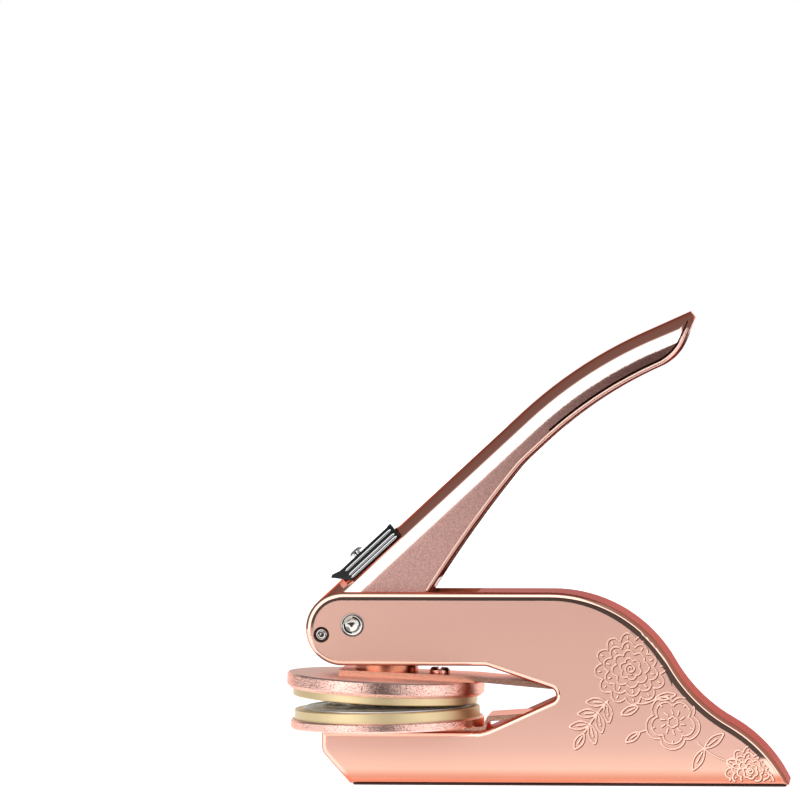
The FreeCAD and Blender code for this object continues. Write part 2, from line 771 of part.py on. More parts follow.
def makeLowerDie():
    top = "lowerDiscThickness"
    disc = turnedPart("lower_disc", [
        ("0", "0"), ("discRadius - discEdge", "0"), ("discRadius", "discEdge"),
        ("discRadius", f"{top} - discEdge"), ("discRadius - discEdge", top), ("0", top)])
    for side in (1, -1):
        name = "rear" if side > 0 else "front"
        blindHole(disc, f"rivet_hole_{name}", f"{side} * discRivetReach", "discRivetRadius",
                  "0", "discRivetDepth", up=True)
    lowerPlace(disc)
    rivets = []
    for side in (1, -1):
        rivet = doc.addObject("Part::Cylinder", f"disc_rivet_{'rear' if side > 0 else 'front'}")
        bind(rivet, "Radius", "discRivetRadius")
        bind(rivet, "Height", "discRivetDepth + clipThickness")
        x, z = lowerLeafPoint(f"{side} * discRivetReach", "0 - clipThickness")
        place(rivet, x, "0", z, "0 - lowerTilt")
        rivets.append(rivet)
    group = doc.addObject("Part::Compound", "lower_disc_rivets")
    group.Links = rivets
    group.Label = "lower_disc_rivets"
    subParts.append(group)

    dieTop = f"({top} + lowerDieThickness)"
    seat = f"({dieTop} + faceProud - faceThickness)"
    lowerPlace(turnedPart("lower_die", [
        ("0", top), ("lowerDieRadius", top), ("lowerDieRadius", f"{dieTop} - dieEdge"),
        ("lowerDieRadius - dieEdge", dieTop), ("faceRadius", dieTop), ("faceRadius", seat), ("0", seat)]))
    faceTop = f"({dieTop} + faceProud)"
    lowerPlace(turnedPart("counter_die", [
        ("0", seat), ("faceRadius", seat), ("faceRadius", f"{faceTop} - dieEdge"),
        ("faceRadius - 2 * dieEdge", faceTop), ("0", faceTop)]))


def makeUpperDie():
    low = "(0 - upperDiscThickness)"
    disc = turnedPart("upper_disc", [
        ("0", low), ("upperDiscRadius - upperDiscChamfer", low),
        ("upperDiscRadius", f"{low} + upperDiscChamfer"), ("upperDiscRadius", "0 - discEdge"),
        ("upperDiscRadius - discEdge", "0"), ("0", "0")])
    through = newSketch(disc, "XZ_Plane", "boss_screw_seat_half")
    outline(through, [
        ("0", low), ("bossScrewHeadRadius", low),
        ("bossScrewRadius", f"{low} + bossScrewHeadRadius - bossScrewRadius"),
        ("bossScrewRadius", "0"), ("0", "0")])
    turned(disc, through, "boss_screw_seat", cut=True)
    blindHole(disc, "disc_screw_hole", "discScrewReach", "discScrewRadius", "0", "discScrewDepth", up=False)
    upperPlace(disc)

    dieLow = f"({low} - upperDieThickness)"
    floor = f"({dieLow} + engravedDepth)"
    upperPlace(turnedPart("upper_die", [
        ("0", floor), ("faceRecessRadius", floor), ("faceRecessRadius", dieLow),
        ("upperDieRadius - dieEdge", dieLow), ("upperDieRadius", f"{dieLow} + dieEdge"),
        ("upperDieRadius", low), ("0", low)]))
    upperPlace(turnedPart("engraved_die", [
        ("0", f"{floor} - engravedThickness"), ("faceRecessRadius", f"{floor} - engravedThickness"),
        ("faceRecessRadius", floor), ("0", floor)]))

    bossLow = "clipThickness"
    bossTop = "(clipThickness + bossHeight)"
    bossHole = "(bossScrewLength - upperDiscThickness)"
    upperPlace(turnedPart("pressure_boss", [
        ("bossScrewRadius", bossLow), ("bossRadius", bossLow), ("bossRadius", f"{bossTop} - bossEdge"),
        ("bossRadius - bossEdge", bossTop), ("0", bossTop), ("0", bossHole), ("bossScrewRadius", bossHole)]))
    upperPlace(turnedPart("boss_screw", [
        ("0", low), ("bossScrewHeadRadius", low),
        ("bossScrewRadius", f"{low} + bossScrewHeadRadius - bossScrewRadius"),
        ("bossScrewRadius", bossHole), ("0", bossHole)]))

    headTop = "(clipThickness + discScrewHeadHeight)"
    screw = turnedPart("disc_screw", [
        ("0", "0 - discScrewDepth"), ("discScrewRadius", "0 - discScrewDepth"),
        ("discScrewRadius", "clipThickness"), ("discScrewHeadRadius", "clipThickness"),
        ("discScrewHeadRadius", f"{headTop} - discScrewHeadHeight / 2"),
        ("discScrewHeadRadius * 0.8", headTop), ("0", headTop)])
    slot = newSketch(screw, "XZ_Plane", "screw_slot_side")
    rectangle(slot, "0 - screwSlotWidth / 2", f"{headTop} - screwSlotDepth",
              "screwSlotWidth / 2", f"{headTop} + screwSlotDepth")
    pocket(screw, slot, "screw_slot", "4 * discScrewHeadRadius")
    upperPlace(screw, "discScrewReach")


# ---- lever ----

leverNoseRadius = "(noseRadius + leverNoseProud)"
bendX = f"(noseX - {leverNoseRadius} * sin(leverSlope) + leverStraight * cos(leverSlope))"
bendZ = f"(noseZ + {leverNoseRadius} * cos(leverSlope) + leverStraight * sin(leverSlope))"
arcX = f"({bendX} + leverArcRadius * sin(leverSlope))"
arcZ = f"({bendZ} - leverArcRadius * cos(leverSlope))"


def leverArcPoint(depth, slope):
    return (f"({arcX} - (leverArcRadius - ({depth})) * sin({slope}))",
            f"({arcZ} + (leverArcRadius - ({depth})) * cos({slope}))")


def leverTipPoint(depth, along):
    """A point of the straight beyond the arc, at a depth under the crown."""
    x, z = leverArcPoint(depth, "leverTipSlope")
    return f"({x} + ({along}) * cos(leverTipSlope))", f"({z} + ({along}) * sin(leverTipSlope))"


def leverLinePoint(depth, station):
    """A point at a distance from the nose along the straight crown, at a depth under it."""
    x = (f"(noseX - ({leverNoseRadius} - ({depth})) * sin(leverSlope)"
         f" + ({station}) * cos(leverSlope))")
    z = (f"(noseZ + ({leverNoseRadius} - ({depth})) * cos(leverSlope)"
         f" + ({station}) * sin(leverSlope))")
    return x, z


def leverOutline():
    """Side view of the lever: nose, crown, tip, underside, root, cam, hub and toe."""
    stopDistance = "sqrt(pow(stopX - hingeX; 2) + pow(stopZ - hingeZ; 2))"
    toeAngle = (f"(180 deg + atan((stopZ - hingeZ) / (stopX - hingeX))"
                f" - asin((stopRadius + toeClearance) / {stopDistance}))")
    kneeX, kneeZ = leverLinePoint("leverDepth", "leverStraight - kneeBack")
    kneeCX = f"({kneeX} + kneeRadius * sin(leverSlope))"
    kneeCZ = f"({kneeZ} - kneeRadius * cos(leverSlope))"
    rootX = f"({kneeCX} - kneeRadius * sin(kneeAngle))"
    rootZ = f"({kneeCZ} + kneeRadius * cos(kneeAngle))"
    rootCX = f"({rootX} + rootRadius * sin(kneeAngle))"
    rootCZ = f"({rootZ} - rootRadius * cos(kneeAngle))"
    rootEndX = f"({rootCX} - rootRadius * sin(rootAngle))"
    rootEndZ = f"({rootCZ} + rootRadius * cos(rootAngle))"
    camCX = "(hingeX + camX)"
    camCZ = "(hingeZ - camDrop)"
    camReach = f"sqrt(pow({rootEndX} - {camCX}; 2) + pow({rootEndZ} - {camCZ}; 2))"
    camIn = f"(atan(({rootEndZ} - {camCZ}) / ({rootEndX} - {camCX})) - acos(camRadius / {camReach}))"
    hubCam = "sqrt(pow(camX; 2) + pow(camDrop; 2))"
    under = f"(0 deg - atan(camDrop / camX) - acos((hubRadius - camRadius) / {hubCam}))"
    noseEnd = leverLinePoint("0", "0")
    depthRadius = "(leverArcRadius - leverDepth)"
    lipStart = leverTipPoint("leverDepth", "leverTipStraight - tipLipBack")
    lipCX, lipCZ = leverTipPoint("leverDepth - tipLipRadius", "leverTipStraight - tipLipBack")
    lipEnd = (f"{lipCX} + tipLipRadius * sin(tipLipAngle)", f"{lipCZ} - tipLipRadius * cos(tipLipAngle)")
    return [
        (f"noseX - {leverNoseRadius}", "noseZ", "noseX", "noseZ", leverNoseRadius, -1),
        noseEnd,
        (bendX, bendZ, arcX, arcZ, "leverArcRadius", -1),
        leverArcPoint("0", "leverTipSlope"),
        leverTipPoint("0", "leverTipStraight"),
        leverTipPoint("tipFacet", "leverTipStraight + tipReach"),
        (*lipEnd, lipCX, lipCZ, "tipLipRadius", -1),
        lipStart,
        (*leverArcPoint("leverDepth", "leverTipSlope"), arcX, arcZ, depthRadius, 1),
        leverArcPoint("leverDepth", "leverSlope"),
        (kneeX, kneeZ, kneeCX, kneeCZ, "kneeRadius", 1),
        (rootX, rootZ, rootCX, rootCZ, "rootRadius", 1),
        (rootEndX, rootEndZ),
        (f"{camCX} + camRadius * cos{camIn}", f"{camCZ} + camRadius * sin{camIn}",
         camCX, camCZ, "camRadius", -1),
        (f"{camCX} + camRadius * cos{under}", f"{camCZ} + camRadius * sin{under}"),
        (f"hingeX + hubRadius * cos{under}", f"hingeZ + hubRadius * sin{under}",
         "hingeX", "hingeZ", "hubRadius", -1),
        (f"hingeX + hubRadius * cos{toeAngle}", f"hingeZ + hubRadius * sin{toeAngle}"),
        (f"hingeX + toeLength * cos{toeAngle}", f"hingeZ + toeLength * sin{toeAngle}"),
    ]


def onCrown(edge, depth, halfWidth):
    """True for an edge on the side face that follows nose, crown straight, arc or tip straight."""
    if not (inPlaneY(edge, halfWidth, 0.01) or inPlaneY(edge, -halfWidth, 0.01)):
        return False
    nose = Vector(size("noseX"), 0, size("noseZ"))
    arc = Vector(size(arcX), 0, size(arcZ))
    noseRadius = size(leverNoseRadius) - depth
    arcRadius = size("leverArcRadius") - depth
    curve = edge.Curve
    if isinstance(curve, Part.Circle):
        centre = Vector(curve.Center.x, 0, curve.Center.z)
        onNose = centre.distanceToPoint(nose) < 0.01 and abs(curve.Radius - noseRadius) < 0.01
        return onNose or (centre.distanceToPoint(arc) < 0.01 and abs(curve.Radius - arcRadius) < 0.01)
    middle = edge.valueAt((edge.FirstParameter + edge.LastParameter) / 2)
    for centre, radius, slope in ((nose, noseRadius, "leverSlope"), (arc, arcRadius, "leverTipSlope")):
        normal = Vector(-size(f"sin({slope})"), 0, size(f"cos({slope})"))
        offset = (Vector(middle.x, 0, middle.z) - centre).dot(normal)
        direction = edge.tangentAt(edge.FirstParameter)
        if abs(offset - radius) < 0.02 and abs(direction.dot(normal)) < 0.01:
            return True
    return False


def cutBow(body, inset):
    """Rounds the tip in plan, like the bow of a boat, with everything moved inwards by inset."""
    tipX = f"({leverTipPoint('tipFacet', 'leverTipStraight + tipReach')[0]} - {inset})"
    half = f"(leverWidth / 2 - {inset})"
    radius = f"(tipBowRadius - {inset})"
    for side in (1, -1):
        name = f"bow_{'far' if side > 0 else 'near'}"
        sketch = newSketch(body, "XY_Plane", name + "_plan")
        centreX = f"({tipX} - {radius})"
        centreY = f"{side} * ({half} - {radius})"
        outline(sketch, [
            (centreX, f"{side} * {half}", centreX, centreY, radius, -side),
            (tipX, centreY),
            (f"{tipX} + 4 * leverWall", centreY),
            (f"{tipX} + 4 * leverWall", f"{side} * (leverWidth / 2 + leverWall)"),
            (centreX, f"{side} * (leverWidth / 2 + leverWall)"),
        ])
        pocket(body, sketch, name, "4 * topHeight", symmetric=False, backwards=True)


def makeLever():
    outer = helperBody("lever_outside")
    sketch = newSketch(outer, "XZ_Plane", "lever_side")
    outline(sketch, leverOutline())
    pad(outer, sketch, "lever_block", "leverWidth")
    halfWidth = size("leverWidth / 2")
    roundEdges(outer, "lever_shoulders", "leverShoulder", lambda edge: onCrown(edge, 0, halfWidth))
    cutBow(outer, "0")

    inner = helperBody("lever_inside")
    sketch = newSketch(inner, "XZ_Plane", "lever_hollow_side")
    wall = "leverWall"
    deep = "(leverDepth * 1.6)"
    outline(sketch, [
        leverLinePoint("hollowRootDepth", "hollowRootStation"),
        leverLinePoint(wall, "hollowRootStation"),
        (*leverArcPoint(wall, "leverSlope"), arcX, arcZ, f"(leverArcRadius - {wall})", -1),
        leverArcPoint(wall, "leverTipSlope"),
        leverTipPoint(wall, "leverTipStraight - leverWall"),
        leverTipPoint(deep, "leverTipStraight - leverWall"),
        (*leverArcPoint(deep, "leverTipSlope"), arcX, arcZ, f"(leverArcRadius - {deep})", 1),
        leverArcPoint(deep, "leverSlope"),
        leverLinePoint("2.4 * leverDepth", "hollowRootStation + hollowRootLength + leverDepth"),
        leverLinePoint("hollowRootDepth", "hollowRootStation + hollowRootLength"),
    ])
    pad(inner, sketch, "lever_core", "leverWidth - 2 * leverWall")
    innerHalf = size("leverWidth / 2 - leverWall")
    roundEdges(inner, "core_shoulders", "leverShoulder - leverWall",
               lambda edge: onCrown(edge, size(wall), innerHalf))
    cutBow(inner, "leverWall")

    hollowed = doc.addObject("Part::Cut", "lever_hollowed")
    hollowed.Base = outer
    hollowed.Tool = inner
    bore = doc.addObject("Part::Cylinder", "lever_bore")
    bind(bore, "Radius", "bushRadius")
    bind(bore, "Height", "2 * leverWidth")
    acrossY(bore, "hingeX", "leverWidth", "hingeZ")
    slot = makeLatchSlot()
    cutters = doc.addObject("Part::Fuse", "lever_cutters")
    cutters.Base = bore
    cutters.Tool = slot
    casting = doc.addObject("Part::Cut", "lever_casting")
    casting.Label = "lever_casting"
    casting.Base = hollowed
    casting.Tool = cutters
    subParts.append(casting)

    sleeve = doc.addObject("Part::Cylinder", "bush_sleeve")
    opening = doc.addObject("Part::Cylinder", "bush_opening")
    bind(sleeve, "Radius", "bushRadius")
    bind(opening, "Radius", "hingeRadius + hingeRunning")
    for piece in (sleeve, opening):
        bind(piece, "Height", "leverWidth")
        acrossY(piece, "hingeX", "leverWidth / 2", "hingeZ")
    bush = doc.addObject("Part::Cut", "hinge_bush")
    bush.Label = "hinge_bush"
    bush.Base = sleeve
    bush.Tool = opening
    subParts.append(bush)


def acrossY(cylinder, x, y, z):
    """Lays a cylinder along -Y from a far end at y."""
    cylinder.Placement = FreeCAD.Placement(
        Vector(size(x), size(y), size(z)), FreeCAD.Rotation(Vector(1, 0, 0), 90))
    bind(cylinder, "Placement.Base.x", x)
    bind(cylinder, "Placement.Base.y", y)
    bind(cylinder, "Placement.Base.z", z)


# ---- latch ----
# Its own frame: +X up the lever's crown, +Z away from it, origin on the crown under the tray's middle.

def latchPlace(body):
    x, z = leverLinePoint("0", "latchStation")
    place(body, x, "0", z, "0 - leverSlope")


def makeLatchSlot():
    """Slot through the crown for the latch rivet and its travel."""
    body = helperBody("latch_slot")
    sketch = newSketch(body, "XY_Plane", "latch_slot_plan")
    half = "(latchRivetRadius + latchSlotClearance)"
    front = "(0 - latchRivetFront - latchTravel)"
    rear = "(0 - latchRivetFront)"
    outline(sketch, [
        (front, f"0 - {half}"),
        (rear, f"0 - {half}", rear, "0", half, 1),
        (f"{rear} + {half}", "0", rear, "0", half, 1),
        (rear, half),
        (front, half, front, "0", half, 1),
        (f"{front} - {half}", "0", front, "0", half, 1),
    ])
    pad(body, sketch, "latch_slot_block", "4 * leverWall")
    latchPlace(body)
    return body


def makeLatch():
    slide = newBody("latch_slide")
    sketch = newSketch(slide, "XZ_Plane", "latch_side")
    outline(sketch, [
        ("0 - latchFront", "0 - latchSkirt"),
        ("latchRear", "0 - latchSkirt"),
        ("latchRearLip", "latchRearLipTop"),
        ("latchRearLip - latchLipThickness", "latchRearLipTop"),
        ("latchRear - latchLipThickness * 1.5", "latchTop"),
        ("0 - latchFront - latchLipThickness", "latchTop"),
        ("0 - latchFrontLip + latchLipThickness", "latchLipTop"),
        ("0 - latchFrontLip", "latchLipTop - latchLipThickness / 2"),
    ])
    pad(slide, sketch, "latch_block", "latchWidth")
    sketch = newSketch(slide, "XZ_Plane", "latch_channel_side")
    rectangle(sketch, "0 - 2 * latchFrontLip", "0 - 2 * latchSkirt", "2 * latchFrontLip", "latchGap")
    pocket(slide, sketch, "latch_channel", "latchWidth - 2 * latchWall")
    sketch = newSketch(slide, "XY_Plane", "latch_tray_plan", "latchGap + latchFloor")
    trayHalf = "(latchWidth / 2 - latchWall - latchStep)"
    rectangle(sketch, "0 - latchFront", f"0 - {trayHalf}", "latchRear - latchLipThickness", trayHalf)
    pocket(slide, sketch, "latch_tray", "2 * latchLipTop", symmetric=False, backwards=True)
    for side in (1, -1):
        sketch = newSketch(slide, "XY_Plane", f"latch_step_{'far' if side > 0 else 'near'}_plan",
                           "latchGap")
        edge = f"{side} * (latchWidth / 2 - latchStep)"
        outside = f"{side} * latchWidth"
        rectangle(sketch, "0 - 2 * latchFrontLip", edge, "2 * latchFrontLip", outside)
        pocket(slide, sketch, f"latch_step_{'far' if side > 0 else 'near'}", "2 * latchLipTop",
               symmetric=False, backwards=True)
    sketch = newSketch(slide, "XY_Plane", "latch_rivet_hole_round")
    circleAt(sketch, "0 - latchRivetFront", "0", "latchRivetRadius")
    pocket(slide, sketch, "latch_rivet_hole", "4 * latchLipTop")
    latchPlace(slide)

    plateTopZ = "(0 - leverWall - latchGap)"
    plateLowZ = f"({plateTopZ} - latchPlateThickness)"
    headLow = "(latchTop + latchHeadRise - latchHeadHeight / 2)"
    headTop = f"({headLow} + latchHeadHeight)"
    rivet = newBody("latch_rivet")
    sketch = newSketch(rivet, "XZ_Plane", "latch_rivet_half")
    outline(sketch, [
        ("0", plateLowZ), ("latchRivetRadius", plateLowZ), ("latchRivetRadius", headLow),
        ("latchHeadRadius", headLow), ("latchHeadRadius", f"{headLow} + latchHeadHeight / 3"),
        ("latchHeadRadius * 0.6", f"{headTop} - latchHeadHeight / 8"), ("0", headTop)])
    turned(rivet, sketch, "latch_rivet_turned")
    x, z = leverLinePoint("0", "latchStation - latchRivetFront")
    place(rivet, x, "0", z, "0 - leverSlope")

    plate = newBody("latch_plate")
    sketch = newSketch(plate, "XY_Plane", "latch_plate_plan", plateLowZ)
    left = "(0 - latchRivetFront - latchPlateLength / 2)"
    right = "(0 - latchRivetFront + latchPlateLength / 2)"
    rectangle(sketch, left, "0 - latchPlateWidth / 2", right, "latchPlateWidth / 2")
    pad(plate, sketch, "latch_plate_sheet", "latchPlateThickness", symmetric=False)
    sketch = newSketch(plate, "XY_Plane", "latch_plate_hole_round", plateLowZ)
    circleAt(sketch, "0 - latchRivetFront", "0", "latchRivetRadius")
    pocket(plate, sketch, "latch_plate_hole", "latchPlateThickness", symmetric=False, backwards=True)
    latchPlace(plate)


makeFrame()
makeBase()
makePins()
makeSpringClip()
makeUpperLeaf()
makeLowerDie()
makeUpperDie()
makeLever()
makeLatch()
doc.recompute()

for thing in doc.Objects:
    if "Invalid" in thing.State or "Error" in thing.State:
        raise ValueError(f"{thing.Name} failed: {thing.State}")
os.makedirs("parts", exist_ok=True)
for subPart in subParts:
    shape = subPart.Shape
    if shape.isNull() or not shape.isValid():
        raise ValueError(f"{subPart.Label} has no valid shape")
    print(subPart.Label, len(shape.Solids), round(shape.Volume, 1))
    shape.exportStep(f"parts/{subPart.Label}.step")
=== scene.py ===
import json
import math
import bpy
import numpy as np
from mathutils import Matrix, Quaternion, Vector
from mathutils.bvhtree import BVHTree


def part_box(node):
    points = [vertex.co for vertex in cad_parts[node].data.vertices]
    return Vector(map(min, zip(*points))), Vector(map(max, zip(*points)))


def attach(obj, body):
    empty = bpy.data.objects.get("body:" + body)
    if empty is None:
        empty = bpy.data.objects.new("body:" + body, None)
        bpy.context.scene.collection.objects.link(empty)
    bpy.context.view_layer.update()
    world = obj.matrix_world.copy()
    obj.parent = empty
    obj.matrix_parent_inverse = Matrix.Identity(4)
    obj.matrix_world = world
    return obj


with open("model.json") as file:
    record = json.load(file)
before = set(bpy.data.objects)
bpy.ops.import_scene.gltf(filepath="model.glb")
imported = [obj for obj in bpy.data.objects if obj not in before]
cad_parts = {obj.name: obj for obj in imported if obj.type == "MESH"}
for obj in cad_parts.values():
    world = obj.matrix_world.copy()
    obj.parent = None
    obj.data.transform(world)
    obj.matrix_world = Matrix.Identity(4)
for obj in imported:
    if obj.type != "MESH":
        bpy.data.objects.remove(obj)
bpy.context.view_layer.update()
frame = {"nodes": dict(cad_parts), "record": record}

# Lengths are in metres and angles in degrees, except where a name ends in Mm. A circle is its
# centre's x and z and its radius, in millimetres in the side view.

# The frame casting's side view: its top line, its nose, and the arcs of shoulder, waist and tail.
# Each arc has the x at which it starts in Mm, its circle, and 1 where the metal lies within the
# circle or -1 where it lies outside.
frameSide = {"topMm": 49.6, "halfWidthMm": 11.0, "nose": (-49.6, 40.15, 9.45),
             "arcs": ((3.76, (3.76, 13.25, 36.35), 1),
                      (35.33, (70.34, 51.23, 40.3), -1),
                      (50.43, (32.65, -15.11, 36.0), 1))}

# The lever's side view: a straight back, an arc and a straight tip, and below them the lip, the
# knee and the root. Depths go down from the back.
leverSide = {"slope": 42.6, "straightMm": 71.6, "arcRadiusMm": 115.4, "tipSlope": 24,
             "tipStraightMm": 13.3, "crownBackMm": 1.2, "depthMm": 9.77, "facetMm": 1.9,
             "reachMm": 0.48, "lipBackMm": 13.06, "lipRadiusMm": 13.0, "lipAngle": 67.3,
             "kneeBackMm": 6.5, "kneeRadiusMm": 31.5, "kneeAngle": 50.9, "rootRadiusMm": 320.0,
             "rootAngle": 57.9, "noseRadiusMm": 9.7}


def linear(code):
    # An sRGB hex value as linear light.
    parts = [int(code[i:i + 2], 16) / 255 for i in (1, 3, 5)]
    return [p / 12.92 if p <= 0.04045 else ((p + 0.055) / 1.055) ** 2.4 for p in parts] + [1.0]


def addNode(tree, kind, inputs=(), **settings):
    # Inputs come by name, or in the order of the sockets in use. The first output in use comes back.
    made = tree.nodes.new("ShaderNode" + kind)
    for name, value in settings.items():
        setattr(made, name, value)
    byName = isinstance(inputs, dict)
    sockets = made.inputs if byName else [socket for socket in made.inputs if socket.enabled]
    for key, value in inputs.items() if byName else enumerate(inputs):
        if isinstance(value, bpy.types.NodeSocket):
            tree.links.new(value, sockets[key])
        else:
            sockets[key].default_value = value
    return next((socket for socket in made.outputs if socket.enabled), made)


smoothly = {"interpolation_type": "SMOOTHSTEP"}  # for Map Range, from 0 to 1 between two limits


def newMaterial(name, kind="BsdfPrincipled", **inputs):
    # The shader's own sockets are given by their names, with _ for a space.
    material = bpy.data.materials.new(name)
    material.use_nodes = True
    tree = material.node_tree
    tree.nodes.clear()
    shader = addNode(tree, kind, {key.replace("_", " "): value for key, value in inputs.items()})
    addNode(tree, "OutputMaterial", [shader])
    return material, tree, shader.node


def feed(tree, shader, **sockets):
    for name, socket in sockets.items():
        tree.links.new(socket, shader.inputs[name.replace("_", " ")])


def grainBump(tree, place, grainMm, strength, depthMm=0.05):
    # Blasted or cast grain: noise one grain wide, raised by the depth.
    noise = addNode(tree, "TexNoise", {"Vector": place, "Scale": 1000 / grainMm, "Detail": 2.0})
    normal = addNode(tree, "Bump", {"Height": noise, "Strength": strength, "Distance": depthMm / 1000})
    return normal, noise


def plainMetal(name, colour, roughness, grainMm=0.0, strength=0.3, tint="#FFFFFF"):
    # One metal all over. The tint colours what it mirrors at a grazing angle.
    material, tree, shader = newMaterial(name, Base_Color=linear(colour), Metallic=1.0,
                                         Roughness=roughness, Specular_Tint=linear(tint))
    if grainMm:
        place = addNode(tree, "TexCoord").node.outputs["Object"]
        feed(tree, shader, Normal=grainBump(tree, place, grainMm, strength)[0])
    return material


# Facing is how far a normal points straight across the casting: 1 on its flat sides, 0 on the roof.
# Where two numbers stand together, a finish starts at the first and is full at the second.
# The sides' colours by height are painted light: a pale band just above the foot is a painted reflection of
# the floor, with a darker, redder foot below it and painted shading by height above it.
castingLook = {"sideColoursWithPaintedLight": ((0.0, "#E39A80"), (2.25, "#E39A80"), (4.25, "#F7C8B2"), (10.0, "#EABCAD"),
                               (20.0, "#EABCAD"), (35.0, "#F2C3B2"), (50.0, "#F4C3B4")),  # by height in Mm
               "sideHeightMm": 50.0, "polishedColour": "#FFD2C0", "roofPaintedReflectionColour": "#E39C86",
               "footEdgePaintedShadeColour": "#D98468", "footEdgePaintedShadeMm": (4.0, 2.0), "grazingTint": "#C04E38",
               "satinRoughness": 0.52, "polishedRoughness": 0.04, "roofRoughness": 0.26,
               "sideFacing": (0.985, 0.999), "rearEdgeFacing": (0.97, 0.91), "roofFacing": (0.85, 0.4),
               "borderMm": 2.05, "rearBorderMm": 2.45, "rearMm": (8.0, 26.0), "borderBlurMm": (0.15, -0.15),
               "borderHeightMm": (38.0, 43.0), "borderRearMm": (0.0, 8.0),
               "grainMm": 0.12, "grainDepthMm": 0.02, "grainStrength": 0.1}


def borderDistance(tree, x, z):
    # Millimetres inward from the side view's outline: down from the top line, then from each arc
    # past its start, and from the nose's circle ahead of its centre.
    flat = addNode(tree, "CombineXYZ", (x, 0, z))
    reach = addNode(tree, "Math", (frameSide["topMm"], z), operation="SUBTRACT")
    for start, (centreX, centreZ, radius), within in frameSide["arcs"]:
        away = addNode(tree, "VectorMath", (flat, (centreX, 0, centreZ)), operation="DISTANCE")
        inside = addNode(tree, "Math", (away, -within, within * radius), operation="MULTIPLY_ADD")
        past = addNode(tree, "Math", (x, start), operation="GREATER_THAN")
        reach = addNode(tree, "Mix", (past, reach, inside))
    centreX, centreZ, radius = frameSide["nose"]
    away = addNode(tree, "VectorMath", (flat, (centreX, 0, centreZ)), operation="DISTANCE")
    inside = addNode(tree, "Math", (radius, away), operation="SUBTRACT")
    ahead = addNode(tree, "Math", (x, centreX), operation="LESS_THAN")
    return addNode(tree, "Mix", (ahead, reach, inside))


def castingMaterial():
    # Copper-toned plating on zinc: the satin sides spread the light softly, and the polished border
    # and edges mirror it. Its colour carries painted light: tones by height on the sides, painted shade
    # on the edges near the foot, and a painted reflection on the roof.
    look = castingLook
    material, tree, shader = newMaterial("rose gold plated zinc casting", Metallic=1.0,
                                         Specular_Tint=linear(look["grazingTint"]))
    coords = addNode(tree, "TexCoord").node.outputs
    placeMm = addNode(tree, "VectorMath", (coords["Object"], 1000.0), operation="SCALE")
    x, _, z = addNode(tree, "SeparateXYZ", [placeMm]).node.outputs
    _, across, _ = addNode(tree, "SeparateXYZ", [coords["Normal"]]).node.outputs
    facing = addNode(tree, "Math", [across], operation="ABSOLUTE")
    side = addNode(tree, "MapRange", (facing, *look["sideFacing"]), **smoothly)
    rear = addNode(tree, "MapRange", (x, *look["rearMm"]), **smoothly)
    width = addNode(tree, "Math", (rear, look["rearBorderMm"] - look["borderMm"], look["borderMm"]),
                    operation="MULTIPLY_ADD")
    beyond = addNode(tree, "Math", (borderDistance(tree, x, z), width), operation="SUBTRACT")
    border = addNode(tree, "MapRange", (beyond, *look["borderBlurMm"]), **smoothly)
    high = addNode(tree, "MapRange", (z, *look["borderHeightMm"]), **smoothly)
    behind = addNode(tree, "MapRange", (x, *look["borderRearMm"]), **smoothly)
    bordered = addNode(tree, "Math", (high, behind), operation="MAXIMUM")
    border = addNode(tree, "Math", (border, bordered), operation="MULTIPLY")
    satin = addNode(tree, "Math", (side, border), operation="SUBTRACT", use_clamp=True)
    # Painted light: the sides' colour ramps with height.
    body = addNode(tree, "ValToRGB", [addNode(tree, "Math", (z, look["sideHeightMm"]), operation="DIVIDE")])
    steps = body.node.color_ramp.elements
    while len(steps) < len(look["sideColoursWithPaintedLight"]):
        steps.new(0.5)
    for step, (heightMm, colour) in zip(steps, look["sideColoursWithPaintedLight"]):
        step.position = heightMm / look["sideHeightMm"]
        step.color = linear(colour)
    rearEdge = addNode(tree, "MapRange", (facing, *look["rearEdgeFacing"]), **smoothly)
    rearEdge = addNode(tree, "Math", (rearEdge, rear), operation="MULTIPLY")
    # Painted reflection: the roof and the rear edges take a redder tone than the sides.
    roof = addNode(tree, "MapRange", (facing, *look["roofFacing"]), **smoothly)
    roof = addNode(tree, "Math", (roof, rearEdge), operation="MAXIMUM")
    # Painted shade: within a few millimetres of the foot the polished edges turn a darker salmon.
    low = addNode(tree, "MapRange", (z, *look["footEdgePaintedShadeMm"]), **smoothly)
    edges = addNode(tree, "Mix", (low, linear(look["polishedColour"]), linear(look["footEdgePaintedShadeColour"])),
                    data_type="RGBA")
    edges = addNode(tree, "Mix", (roof, edges, linear(look["roofPaintedReflectionColour"])), data_type="RGBA")
    colour = addNode(tree, "Mix", (satin, edges, body), data_type="RGBA")
    gloss = addNode(tree, "Mix", (roof, look["polishedRoughness"], look["roofRoughness"]))
    rough = addNode(tree, "Mix", (satin, gloss, look["satinRoughness"]))
    grain = addNode(tree, "Math", (satin, look["grainStrength"]), operation="MULTIPLY")
    normal, _ = grainBump(tree, coords["Object"], look["grainMm"], grain, look["grainDepthMm"])
    feed(tree, shader, Base_Color=colour, Roughness=rough, Normal=normal)
    return material


# Tip depths and reaches are measured from the origin, square to the tip's slope and along it, the
# painted shade's reach along the back's slope, and levels out from the middle plane. The grain's shade
# takes noise between the first two numbers to a factor between the last two.
leverLook = {"crownColour": "#F4A692", "shoulderPaintedHighlightColour": "#FFE9E0", "rootColour": "#DDB0A7",
             "gripPaintedShadeColour": "#6E4E49", "underPaintedShadeColour": "#8E3424", "grazingTint": "#DC8470",
             "crownRoughness": 0.12, "sideRoughness": 0.5, "grainMm": 0.35, "ragged": 0.006,
             "grainShade": (0.35, 0.65, 0.82, 1.12), "sideLevel": (0.0076, 0.008),
             "sideFacing": (0.995, 0.999), "tipDepth": (0.0891, 0.0888), "tipReach": (0.0762, 0.0765),
             "tipFacing": (0.7, 0.75), "crownFacing": (0.86, 0.78), "underShadeFacing": (-0.1, -0.5),
             "paintedShadeReach": (0.015, 0.1)}


